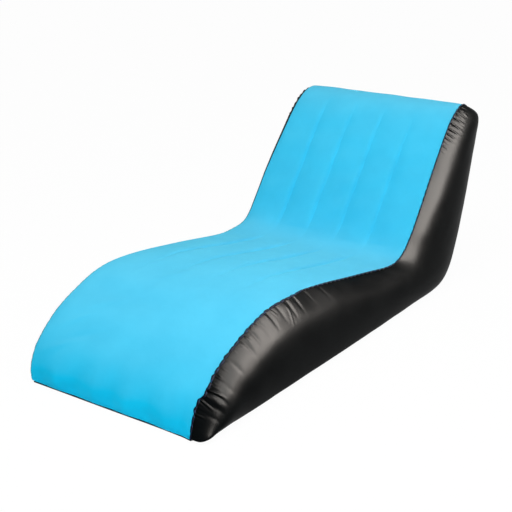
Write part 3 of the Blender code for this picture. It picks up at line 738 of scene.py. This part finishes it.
def pucker_depths(lengths, away, table):
    """Rise and fall that a table of puckers gives, by the length and the way from the seam."""
    total = np.zeros(away.shape)
    for place, start, end, depth, width, lean in table:
        share = (away - start) / (end - start)
        strength = eased(away / PUCKER_START) * eased(share / PUCKER_RISE_SHARE + (start == 0.0))
        share = np.clip(share, 0.0, 1.0)
        strength = strength * (1 - share) ** PUCKER_FADE_POWER
        narrow = PUCKER_SHARPNESS * width * (PUCKER_WIDTH + PUCKER_WIDENING * share)
        total += depth * strength * pucker_form(lengths - place - lean * share, narrow)
    return total


def far_puckers():
    """The far seam's puckers: as the near ones, each shifted and changed a little."""
    random = np.random.default_rng(FAR_SEED)
    return [
        (
            place + FAR_PUCKER_SHIFT * random.uniform(-1, 1), start + FAR_PUCKER_START,
            start + (end - start) * random.uniform(*FAR_REACHES),
            depth * random.uniform(*FAR_DEPTHS), width * random.uniform(*FAR_WIDTHS),
            lean * random.uniform(-1, 1),
        )
        for place, start, end, depth, width, lean in PUCKERS_SEEN
    ]


def low_puckers(side):
    """Small puckers along the low seam: under the toe, at the heel and up the back."""
    random = np.random.default_rng(LOW_SEED + side)
    found, place = [], LOW_PUCKER_MARGINS[0]
    while place < LOW_LENGTH - LOW_PUCKER_MARGINS[1]:
        bend = 1.0 if place > BACK_START - HEEL_RUN else FLOOR_DEPTH_SHARE
        found.append((
            place, 0.0, random.uniform(*LOW_REACHES), bend * random.uniform(*LOW_DEPTHS),
            random.uniform(*LOW_WIDTHS), random.uniform(*LOW_LEANS),
        ))
        place += LOW_PUCKER_PITCH * random.uniform(*LOW_PITCHES)
    return found


def side_form(side, lengths, shares):
    """x and (reach, height) of a side panel, from the top seam at share 0 to the low at 1."""
    inset = film_inset(PANEL_FILM)
    top = TOP.at(lengths, -inset)
    low = LOW.at(facing_low(lengths), -inset)
    height = np.linalg.norm(top - low, axis=-1)
    full_height = np.interp(lengths, TOE_FULL_LENGTHS, (TOE_FULL_HEIGHT, FULL_SIDE_HEIGHT))
    full = np.sqrt(1 - (1 - np.minimum(height / full_height, 1.0)) ** 2)[:, None]
    across = (1 - np.cos(math.pi * shares)) / 2
    at_top, at_bottom = FAR_FULLNESS_POWERS
    if side == NEAR:
        at_top = NEAR_TOP_POWER
        at_bottom = np.interp(lengths, NEAR_LOW_PLACES, NEAR_LOW_POWERS)[:, None]
    power = at_top + (at_bottom - at_top) * shares
    yz = top[:, None] + (low - top)[:, None] * across[:, None]
    start, run = (-CORNER_REACH, TOE_FULL_RUN) if side == NEAR else (0.0, FAR_FULL_RUN)
    behind_toe = np.clip((yz[..., 0] - start) / (run - start), 0.0, 1.0)
    full = full * np.sin(behind_toe * math.pi / 2)
    rest_bulge = REST_BULGE * bell(lengths - REST_BULGE_PLACE, REST_BULGE_RUN)
    most = (SIDE_BULGE + toe_draw_in(lengths) + rest_bulge)[:, None]
    bulge = most * full * np.clip(np.sin(math.pi * shares), 0.0, 1.0) ** power
    plain = seam_half_width(lengths)[:, None] + bulge
    away = height[:, None] * across
    wave_fade = np.interp(lengths, WAVE_FADE_PLACES, WAVE_FADES)[:, None]
    wave = slow_wave(side, lengths)[:, None] * (1 - eased(away / wave_fade))
    wave = wave - notches(side, lengths)[:, None] * (1 - eased(away / NOTCH_FADE))
    return side * (plain + wave), yz


def side_panel(name, side, look, node):
    """A black side with its bulge, waves and puckers."""
    shares = np.linspace(0.0, 1.0, SIDE_COLUMNS + 1)
    x, yz = side_form(side, ROWS, shares)
    points = placed(x, yz)
    steps = np.linalg.norm(np.diff(points, axis=1), axis=-1)
    from_top = np.concatenate([np.zeros((len(ROWS), 1)), np.cumsum(steps, axis=1)], axis=1)
    from_low = from_top[:, -1:] - from_top
    table = PUCKERS_SEEN if side == NEAR else far_puckers()
    rise = pucker_depths(ROWS[:, None], from_top, table)
    rise += pucker_depths(facing_low(ROWS)[:, None], from_low, low_puckers(side))
    room = eased(from_top[:, -1:] / SIDE_WAVE_ROOM) * eased(from_top / SIDE_WAVE_MARGIN)
    room = room * eased(from_low / SIDE_WAVE_MARGIN)
    rise += SIDE_WAVE * room * soft_waves(ROWS[:, None] + side, from_top)
    points += normals_of(points) * -side * rise[..., None]
    points[..., 2] = np.maximum(points[..., 2], GAP)
    panel = finished(name, grid_mesh(points, flip=side == NEAR), look, node)
    add_film(panel, PANEL_FILM)
    return panel


# Base and back sheet: flat on the floor, crowned on the back, drawn in where the ribs are welded

BACK_GROOVE_DEPTH = 0.0035
BACK_GROOVE_WIDTH = 0.016
BACK_GROOVE_ENDS = (0.06, 0.07)
BACK_GROOVE_EASES = (0.05, 0.08)
LOW_WAVE_SHIFT = 3
LOW_ROW_STEP = 0.0075
LOW_COLUMN_OFFSETS = (
    -0.052, -0.042, -0.033, -0.025, -0.018, -0.0135, -0.0101, -0.005, 0.0, 0.005, 0.0101, 0.0135,
    0.018, 0.025, 0.033, 0.042, 0.052,
)
PATCH_RADIUS = 0.034
PATCH_FADE = 0.050
BORE_SEGMENTS = 64
LOW_LIMITS = rib_limits(LOW, PANEL_FILM)


def valve_plane():
    """Middle and outward direction of the valve's seat, from the frame's own valve base."""
    points = np.array([v.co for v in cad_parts["valve_base"].data.vertices])
    centre = (points.min(0) + points.max(0)) / 2
    axis = np.linalg.svd(points - points.mean(0))[2][-1]
    axis = axis if axis[1] > 0 else -axis
    centre[0] = 0.0
    heights = (points - centre) @ axis
    ring = points[heights < heights.min() + GAP]
    return ring.mean(0) - axis * GAP, axis


def low_height(lengths, x):
    """How far the base and back sheet stands out from the seam line. It is flat on the floor."""
    flat = LOW.length_at(FLAT_STOP)
    crown = np.interp(lengths, (flat, BACK_START), (SEAM_LIFT, BACK_CROWN))
    crown = crown * rounded(lengths, LOW_LENGTH)
    half = seam_half_width(facing_top(lengths))
    outside = np.clip((np.abs(x) - FLAT_HALF_WIDTH) / (half - FLAT_HALF_WIDTH), 0.0, 1.0)
    height = crown * (1 - outside**2)
    (start, end), (start_run, end_run) = BACK_GROOVE_ENDS, BACK_GROOVE_EASES
    on_back = eased((lengths - BACK_START + start) / start_run)
    on_back = on_back * eased((LOW_LENGTH - end - lengths) / end_run)
    for rib in RIBS:
        height = height - BACK_GROOVE_DEPTH * on_back * bell(x - rib, BACK_GROOVE_WIDTH)
    waves = SOFT_WAVE * soft_waves(lengths + LOW_WAVE_SHIFT, x) * (1 - outside) * on_back
    return above_ribs(LOW, LOW_LIMITS, lengths, x, height + waves)


def seated_valve(points):
    """Draws the back sheet flat onto the valve's seat round the valve."""
    centre, axis = valve_plane()
    heights = (points - centre) @ axis
    away = np.linalg.norm(points - centre - heights[..., None] * axis, axis=-1)
    hold = 1 - eased((away - PATCH_RADIUS) / (PATCH_FADE - PATCH_RADIUS))
    hold = np.where(np.abs(heights) < PATCH_FADE, hold, 0.0)
    return points - axis * (heights * hold)[..., None]


def cut_valve_hole(obj):
    """The valve's air hole through the back sheet."""
    centre, axis = valve_plane()
    turn = Vector(axis).to_track_quat("Z", "Y").to_matrix().to_4x4()
    bm = bmesh.new()
    bmesh.ops.create_cone(
        bm, cap_ends=True, segments=BORE_SEGMENTS, radius1=BORE_RADIUS, radius2=BORE_RADIUS,
        depth=BORE_RADIUS, matrix=Matrix.Translation(centre) @ turn,
    )
    cutter = mesh_object("valve_hole", bm)
    hole = obj.modifiers.new("valve hole", "BOOLEAN")
    hole.object = cutter
    settle(obj)
    bpy.data.objects.remove(cutter)


def settle(obj):
    """Applies the modifiers of a piece."""
    bpy.context.view_layer.update()
    graph = bpy.context.evaluated_depsgraph_get()
    mesh = bpy.data.meshes.new_from_object(obj.evaluated_get(graph))
    obj.modifiers.clear()
    obj.data = mesh


def base_and_back_sheet(look):
    """The black sheet from the toe over the floor and up the back, with the valve's hole."""
    inset = film_inset(PANEL_FILM)
    lengths = np.linspace(inset, LOW_LENGTH - inset, round(LOW_LENGTH / LOW_ROW_STEP))
    edge = seam_half_width(facing_top(lengths)) - inset
    x = columns(-edge, edge, LOW_COLUMN_OFFSETS)
    rows = lengths[:, None]
    yz = LOW.at(np.broadcast_to(rows, x.shape), low_height(rows, x))
    yz[..., 1] += toe_bow(rows, x)
    points = seated_valve(placed(x, yz))
    points[..., 2] = np.maximum(points[..., 2], 0.0)
    sheet = finished(
        "base_and_back_skin", grid_mesh(points, flip=True), look,
        "base_and_back_sheet",
    )
    add_film(sheet, PANEL_FILM)
    cut_valve_hole(sheet)
    return sheet


# Welds: beads with pinched and full stretches

WELD_SIDES = 8
WELD_SIZE = 0.80
WELD_SIZE_RANGE = 0.30
CROSS_WELD_RINGS = 181
PINCH_PITCH = 0.026
PINCH_SHARE = 0.55
PINCH_POWER = 8
NEAR_WELD_PLACES = (0.02, 0.10, 0.58, 0.68)
NEAR_WELD_SHARES = (1.1, 1.65, 1.65, 1.1)
FAR_WELD_SINK = 0.0012
FAR_WELD_SHARE = 0.4
# The toe weld's forward push and fuller middle are partly painted shadow: a real weld, thickened
# for the shadow under the lifted toe edge
TOE_WELD_AND_SHADOW_FORWARD = 0.0024
TOE_WELD_AND_SHADOW_SHARES = (0.95, 0.50)


def weld_radius(places, side):
    """Radius of a weld along it: full stretches with pinches between them."""
    random = np.random.default_rng(WELD_SEED + side)
    knots = np.arange(0.0, places[-1] + PINCH_PITCH, PINCH_PITCH)
    sizes = WELD_SIZE + WELD_SIZE_RANGE * random.random(len(knots))
    pinches = np.abs(np.cos(math.pi * places / PINCH_PITCH)) ** PINCH_POWER
    return WELD_RADIUS * np.interp(places, knots, sizes) * (1 - PINCH_SHARE * pinches)


def bead(centres, axes, radii, closed):
    """A tube of rings round its centres. The axes are two unit directions across each centre."""
    turns = np.linspace(0.0, 2 * math.pi, WELD_SIDES, endpoint=False)[None, :, None]
    first, second = axes[0][:, None], axes[1][:, None]
    ring = np.cos(turns) * first + np.sin(turns) * second
    rings = centres[:, None] + radii[:, None, None] * ring
    rings = np.concatenate([rings, rings[:, :1]], axis=1)
    if closed:
        rings = np.concatenate([rings, rings[:1]], axis=0)
    bm = grid_mesh(rings)
    if not closed:
        bmesh.ops.holes_fill(bm, edges=bm.edges, sides=WELD_SIDES)
    bmesh.ops.recalc_face_normals(bm, faces=bm.faces)
    return bm


def edge_weld(name, side, look, node):
    """Weld round the whole edge of one side panel."""
    wave = seam_wave(side, ROWS)
    half = seam_half_width(ROWS)
    top_yz = TOP.at(ROWS, -PANEL_FILM / 2)
    low_yz = LOW.at(facing_low(ROWS), -PANEL_FILM / 2)
    top = placed(side * (half + wave - PANEL_FILM / 2), top_yz)
    low = placed(side * (half - PANEL_FILM / 2), low_yz)
    centres = np.concatenate([top, low[-2:0:-1]])
    out = np.concatenate([
        TOP.read(TOP.outward, ROWS), LOW.read(LOW.outward, facing_low(ROWS))[-2:0:-1],
    ])
    out = placed(0.0, out) + (0.0, MIDDLE_REACH, 0.0)
    aside = np.zeros_like(out)
    aside[:, 0] = side
    steps = np.linalg.norm(np.diff(centres, axis=0), axis=1)
    places = np.concatenate([[0.0], np.cumsum(steps)])
    radii = weld_radius(places, side)
    if side == NEAR:
        radii *= np.interp(places, NEAR_WELD_PLACES, NEAR_WELD_SHARES)
    else:
        radii *= FAR_WELD_SHARE
        centres -= (aside + out) * FAR_WELD_SINK
    centres[:, 2] = np.maximum(centres[:, 2], radii)
    return finished(name, bead(centres, (aside, out), radii, True), look, node)


def cross_weld(name, length, look, node):
    """Weld across the lounger, where the top sheet meets the base and back sheet."""
    place = np.full(1, length)
    half = seam_half_width(place)[0] - PANEL_FILM / 2 - 2 * WELD_RADIUS - GAP
    x = np.linspace(-half, half, CROSS_WELD_RINGS)
    yz = TOP.at(np.full_like(x, length), -PANEL_FILM / 2)
    radii = weld_radius(x + half, 0)
    # Painted shadow: the real toe weld is drawn fuller in its middle and set forward, thickened
    # to stand in for the shadow under the lifted toe edge
    if length == 0.0:
        middle = 1 - (x / half) ** 2
        radii = WELD_RADIUS * (TOE_WELD_AND_SHADOW_SHARES[0] + TOE_WELD_AND_SHADOW_SHARES[1] * middle)
        yz[:, 0] -= TOE_WELD_AND_SHADOW_FORWARD
        yz[:, 1] = radii
    centres = placed(x, yz)
    centres[:, 2] = np.maximum(centres[:, 2], radii)
    normal = TOP.read(TOP.outward, place)[0]
    out = np.tile([0.0, normal[0], normal[1]], (len(x), 1))
    beside = np.tile([0.0, -normal[1], normal[0]], (len(x), 1))
    return finished(name, bead(centres, (out, beside), radii, False), look, node)


# Materials

BLUE_DEEP = (0.85, 0.93, 0.95)
BLUE_PALE = (1.0, 1.0, 1.0)
BLUE_BELOW = (0.002, 0.525, 0.840)
# Painted light: faces that look up get this paler, redder blue in place of the light and sheen
# from above
BLUE_PAINTED_LIGHT_ABOVE = (0.090, 0.575, 0.840)
FLOCK_SPECK = 0.86
FLOCK_SPECULAR = 0.008
FLOCK_SHEEN = 0.20
FLOCK_SHEEN_TINT = (0.30, 1.0, 0.80)
BLACK_DEEP = (0.0015, 0.0022, 0.0026)
BLACK_WORN = (0.0025, 0.0034, 0.0038)
SATIN_ROUGH = (0.30, 0.36)
SATIN_SPECULAR = 0.006
WELD_DARK = (0.001, 0.003, 0.012)
WELD_BLUE = (0.002, 0.030, 0.090)
WELD_SPECULAR = 0.008
# Valve tones: dark vinyl lifted to grey, a painted reflection of the white surroundings
VALVE_DEEP_AND_REFLECTION = (0.014, 0.015, 0.016)
VALVE_GREY_AND_REFLECTION = (0.030, 0.032, 0.034)
VALVE_ROUGH = (0.38, 0.52)
VALVE_SPECULAR = 0.03
RIB_TONE = (0.75, 0.80, 0.82)
FLAP_TONE = (0.70, 0.72, 0.70)
HAZE_SHARE = 0.8
FILM_IOR = 1.53
FILM_SPECULAR = 0.03


def material(name):
    """A new node material, its node tree and its shader."""
    look = bpy.data.materials.new(name)
    look.use_nodes = True
    return look, look.node_tree, look.node_tree.nodes["Principled BSDF"]


def set_inputs(node, **values):
    """Sets or links the inputs of a node, each named by its words joined with underscores."""
    by_name = {socket.name.replace(" ", "_").lower(): socket for socket in node.inputs}
    for name, value in values.items():
        if isinstance(value, bpy.types.NodeSocket):
            node.id_data.links.new(value, by_name[name])
        else:
            by_name[name].default_value = value


def new_node(tree, kind, **values):
    """A new node, with its inputs set or linked."""
    node = tree.nodes.new(kind)
    set_inputs(node, **values)
    return node


def noise(tree, **sizes):
    """A noise in object coordinates."""
    place = tree.nodes.new("ShaderNodeTexCoord").outputs["Object"]
    return new_node(tree, "ShaderNodeTexNoise", vector=place, **sizes).outputs["Fac"]


def blended(tree, factor, first, second, low, high):
    """Colour or value that runs from the first to the second as the factor rises."""
    ramp = new_node(tree, "ShaderNodeValToRGB", fac=factor)
    for element, place, color in zip(ramp.color_ramp.elements, (low, high), (first, second)):
        element.position = place
        element.color = (*color, 1.0) if isinstance(color, tuple) else (color, color, color, 1.0)
    return ramp.outputs["Color"]


def multiplied(tree, first, second):
    """Two colours multiplied."""
    mix = tree.nodes.new("ShaderNodeMix")
    mix.data_type = "RGBA"
    mix.blend_type = "MULTIPLY"
    mix.inputs["Factor"].default_value = 1.0
    tree.links.new(first, mix.inputs["A"])
    tree.links.new(second, mix.inputs["B"])
    return mix.outputs["Result"]


def painted_top_light(tree, below, above):
    """Painted light: colour that runs from upright faces to paler faces that look up, standing in
    for the light and sheen from above.
    """
    normal = tree.nodes.new("ShaderNodeTexCoord").outputs["Normal"]
    split = new_node(tree, "ShaderNodeSeparateXYZ", vector=normal)
    return blended(tree, split.outputs["Z"], below, above, low=0.25, high=1.0)


def bump(tree, height, **values):
    """Normal of a fine relief."""
    return new_node(tree, "ShaderNodeBump", height=height, **values).outputs["Normal"]


def flocked_vinyl():
    """Sky-blue vinyl with a short velvety flock, brushed a little unevenly, with painted light
    that pales the faces looking up.
    """
    look, tree, shader = material("flocked_blue")
    brushed = noise(tree, scale=9.0, detail=4.0, roughness=0.6)
    flock = noise(tree, scale=1400.0, detail=3.0, roughness=0.7)
    patches = blended(tree, brushed, BLUE_DEEP, BLUE_PALE, low=0.32, high=0.68)
    # Random patches times painted light: the blue pales where faces look up, standing in for the
    # light from above
    mottle_and_painted_light = multiplied(tree, patches, painted_top_light(tree, BLUE_BELOW, BLUE_PAINTED_LIGHT_ABOVE))
    speck = blended(tree, flock, FLOCK_SPECK, 1.0, low=0.30, high=0.62)
    soft = bump(tree, brushed, distance=0.0015, strength=0.25)
    set_inputs(
        shader, base_color=multiplied(tree, mottle_and_painted_light, speck), roughness=0.95,
        specular_ior_level=FLOCK_SPECULAR, sheen_weight=FLOCK_SHEEN, sheen_roughness=0.45,
        sheen_tint=(*FLOCK_SHEEN_TINT, 1.0),
        normal=bump(tree, flock, distance=0.0002, strength=0.5, normal=soft),
    )
    return look


def satin_vinyl():
    """Satin black vinyl film with a faint calender grain."""
    look, tree, shader = material("satin_black")
    patches = noise(tree, scale=7.0, detail=3.0, roughness=0.55)
    grain = noise(tree, scale=900.0, detail=2.0, roughness=0.6)
    soft = bump(tree, patches, distance=0.002, strength=0.25)
    set_inputs(
        shader, base_color=blended(tree, patches, BLACK_DEEP, BLACK_WORN, low=0.35, high=0.70),
        roughness=blended(tree, patches, *SATIN_ROUGH, low=0.3, high=0.7),
        specular_ior_level=SATIN_SPECULAR,
        normal=bump(tree, grain, distance=0.0001, strength=0.25, normal=soft),
    )
    return look


def weld_vinyl():
    """Heat-sealed seam: the blue and the black film pressed into a dark uneven line."""
    look, tree, shader = material("welded_edge")
    dashes = noise(tree, scale=110.0, detail=2.0, roughness=0.5)
    set_inputs(
        shader, base_color=blended(tree, dashes, WELD_DARK, WELD_BLUE, low=0.50, high=0.72),
        roughness=0.7, specular_ior_level=WELD_SPECULAR,
        normal=bump(tree, dashes, distance=0.0006, strength=0.5),
    )
    return look


def valve_vinyl():
    """Moulded soft black vinyl of the valve, its tones lifted to a grey that stands in for the
    white reflection its low gloss leaves out: painted reflection.
    """
    look, tree, shader = material("valve_vinyl")
    wear = noise(tree, scale=60.0, detail=3.0, roughness=0.6)
    grain = noise(tree, scale=1600.0, detail=2.0, roughness=0.6)
    set_inputs(
        shader, base_color=blended(tree, wear, VALVE_DEEP_AND_REFLECTION, VALVE_GREY_AND_REFLECTION, low=0.35, high=0.75),
        roughness=blended(tree, wear, *VALVE_ROUGH, low=0.3, high=0.7),
        specular_ior_level=VALVE_SPECULAR,
        normal=bump(tree, grain, distance=0.0001, strength=0.4),
    )
    return look


def clear_film(name, color, roughness, clearness):
    """Milky clear film, for the ribs and the check flap."""
    look, tree, shader = material(name)
    haze = noise(tree, scale=25.0, detail=3.0, roughness=0.6)
    hazy = tuple(HAZE_SHARE * part for part in color)
    set_inputs(
        shader, base_color=blended(tree, haze, color, hazy, low=0.3, high=0.7),
        roughness=roughness, transmission_weight=clearness, ior=FILM_IOR,
        specular_ior_level=FILM_SPECULAR,
        normal=bump(tree, haze, distance=0.0003, strength=0.3),
    )
    return look


# Floor, light and camera

WHITE = (1.0, 1.0, 1.0, 1.0)
FLOOR_DROP = 0.0005
FLOOR_SIZE = 60.0
FLOOR_TONE = (0.95, 0.95, 0.95, 1.0)
FLOOR_GLOW_SHARE = 0.965
FILL_STRENGTH = 0.50
WARM = (1.0, 0.91, 0.84)
# Lamps: place, aim, width, height, watts, colour and whether only gloss shows them
LAMPS = {
    "over": ((0.9, -1.3, 2.9), (0.0, 0.0, 0.2), 1.8, 1.8, 70.0, WHITE[:3], False),
    "beside": ((2.6, 1.1, 1.8), (0.3, 1.1, 0.7), 1.6, 2.7, 6400.0, WARM, True),
    "before": ((2.6, -0.95, 2.0), (0.3, -0.95, 0.8), 2.5, 2.8, 4800.0, WARM, True),
    "low": ((2.6, 1.35, 0.45), (0.3, 1.35, 0.3), 0.9, 0.40, 560.0, WARM, True),
}
CAMERA_PLACE = (1.986, -2.9168, 1.4751)
CAMERA_DIP = 0.3404
CAMERA_TURN = 0.6139
CAMERA_LENS = 77.34


def seen_directly(tree):
    """1 for rays of the camera and for rays that a gloss or a clear film sends on, else 0."""
    path = tree.nodes.new("ShaderNodeLightPath")
    total = path.outputs["Is Camera Ray"]
    for kind in ("Is Glossy Ray", "Is Transmission Ray"):
        either = tree.nodes.new("ShaderNodeMath")
        either.operation = "MAXIMUM"
        tree.links.new(total, either.inputs[0])
        tree.links.new(path.outputs[kind], either.inputs[1])
        total = either.outputs[0]
    return total


def show_white(tree, share, lit, white, output):
    """Puts a white look over the lit one, by the share of each ray."""
    mix = tree.nodes.new("ShaderNodeMixShader")
    tree.links.new(share, mix.inputs["Fac"])
    tree.links.new(lit.outputs[0], mix.inputs[1])
    tree.links.new(white.outputs[0], mix.inputs[2])
    tree.links.new(mix.outputs[0], tree.nodes[output].inputs["Surface"])


def add_floor():
    """White floor that keeps the lounger's shadow."""
    bm = bmesh.new()
    bmesh.ops.create_grid(bm, x_segments=2, y_segments=2, size=FLOOR_SIZE / 2)
    look, tree, shader = material("floor")
    set_inputs(shader, base_color=FLOOR_TONE, roughness=1.0, specular_ior_level=0.0)
    share = tree.nodes.new("ShaderNodeMath")
    share.operation = "MULTIPLY"
    share.inputs[1].default_value = FLOOR_GLOW_SHARE
    tree.links.new(seen_directly(tree), share.inputs[0])
    glow = tree.nodes.new("ShaderNodeEmission")
    show_white(tree, share.outputs[0], shader, glow, "Material Output")
    obj = mesh_object("floor", bm)
    obj.data.materials.append(look)
    obj.location.z = -FLOOR_DROP


def add_world():
    """White behind the lounger, and a dimmer fill light on it."""
    world = bpy.data.worlds.new("studio")
    world.use_nodes = True
    tree = world.node_tree
    fill = tree.nodes["Background"]
    set_inputs(fill, color=WHITE, strength=FILL_STRENGTH)
    white = new_node(tree, "ShaderNodeBackground", color=WHITE, strength=1.0)
    show_white(tree, seen_directly(tree), fill, white, "World Output")
    bpy.context.scene.world = world


def add_softbox(name, place, aim, width, height, watts, color, glossy_only):
    """A rectangular lamp at a place, facing the aim."""
    lamp = bpy.data.lights.new(name, "AREA")
    lamp.shape = "RECTANGLE"
    lamp.size, lamp.size_y = width, height
    lamp.energy = watts
    lamp.color = color
    obj = new_object(name, lamp)
    obj.location = place
    obj.rotation_euler = (Vector(aim) - Vector(place)).to_track_quat("-Z", "Y").to_euler()
    obj.visible_diffuse = not glossy_only
    obj.visible_camera = False


def add_camera():
    """The photo's camera."""
    data = bpy.data.cameras.new("camera")
    data.lens = CAMERA_LENS
    obj = new_object("camera", data)
    obj.location = CAMERA_PLACE
    obj.rotation_euler = (math.pi / 2 - CAMERA_DIP, 0.0, CAMERA_TURN)
    bpy.context.scene.camera = obj


# The lounger

VALVE_PIECES = ("valve_base", "tether_collar", "deflate_plug", "inflate_plug")

blue = flocked_vinyl()
black = satin_vinyl()
weld = weld_vinyl()
moulded = valve_vinyl()
rib_look = clear_film("rib_film", RIB_TONE, 0.35, 0.5)
flap_look = clear_film("flap_film", FLAP_TONE, 0.30, 0.6)

skin_top = top_sheet(blue)
panels = [
    side_panel("right_side_skin", NEAR, black, "right_side_panel"),
    side_panel("left_side_skin", FAR, black, "left_side_panel"),
]
skin_low = base_and_back_sheet(black)
edge_weld("right_edge_bead", NEAR, weld, "right_edge_weld")
edge_weld("left_edge_bead", FAR, weld, "left_edge_weld")
cross_weld("toe_bead", 0.0, weld, "toe_weld")
cross_weld("back_top_bead", TOP_LENGTH, weld, "back_top_weld")

for node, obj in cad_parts.items():
    if node in VALVE_PIECES:
        look = moulded
    elif node == "check_flap":
        look = flap_look
    elif node.startswith(("seat_rib_", "back_rib_")):
        look = rib_look
    else:
        continue
    for slot in obj.material_slots:
        slot.material = look

add_floor()
add_world()
for name, values in LAMPS.items():
    add_softbox(name, *values)
add_camera()
bpy.context.scene.view_settings.view_transform = "Standard"
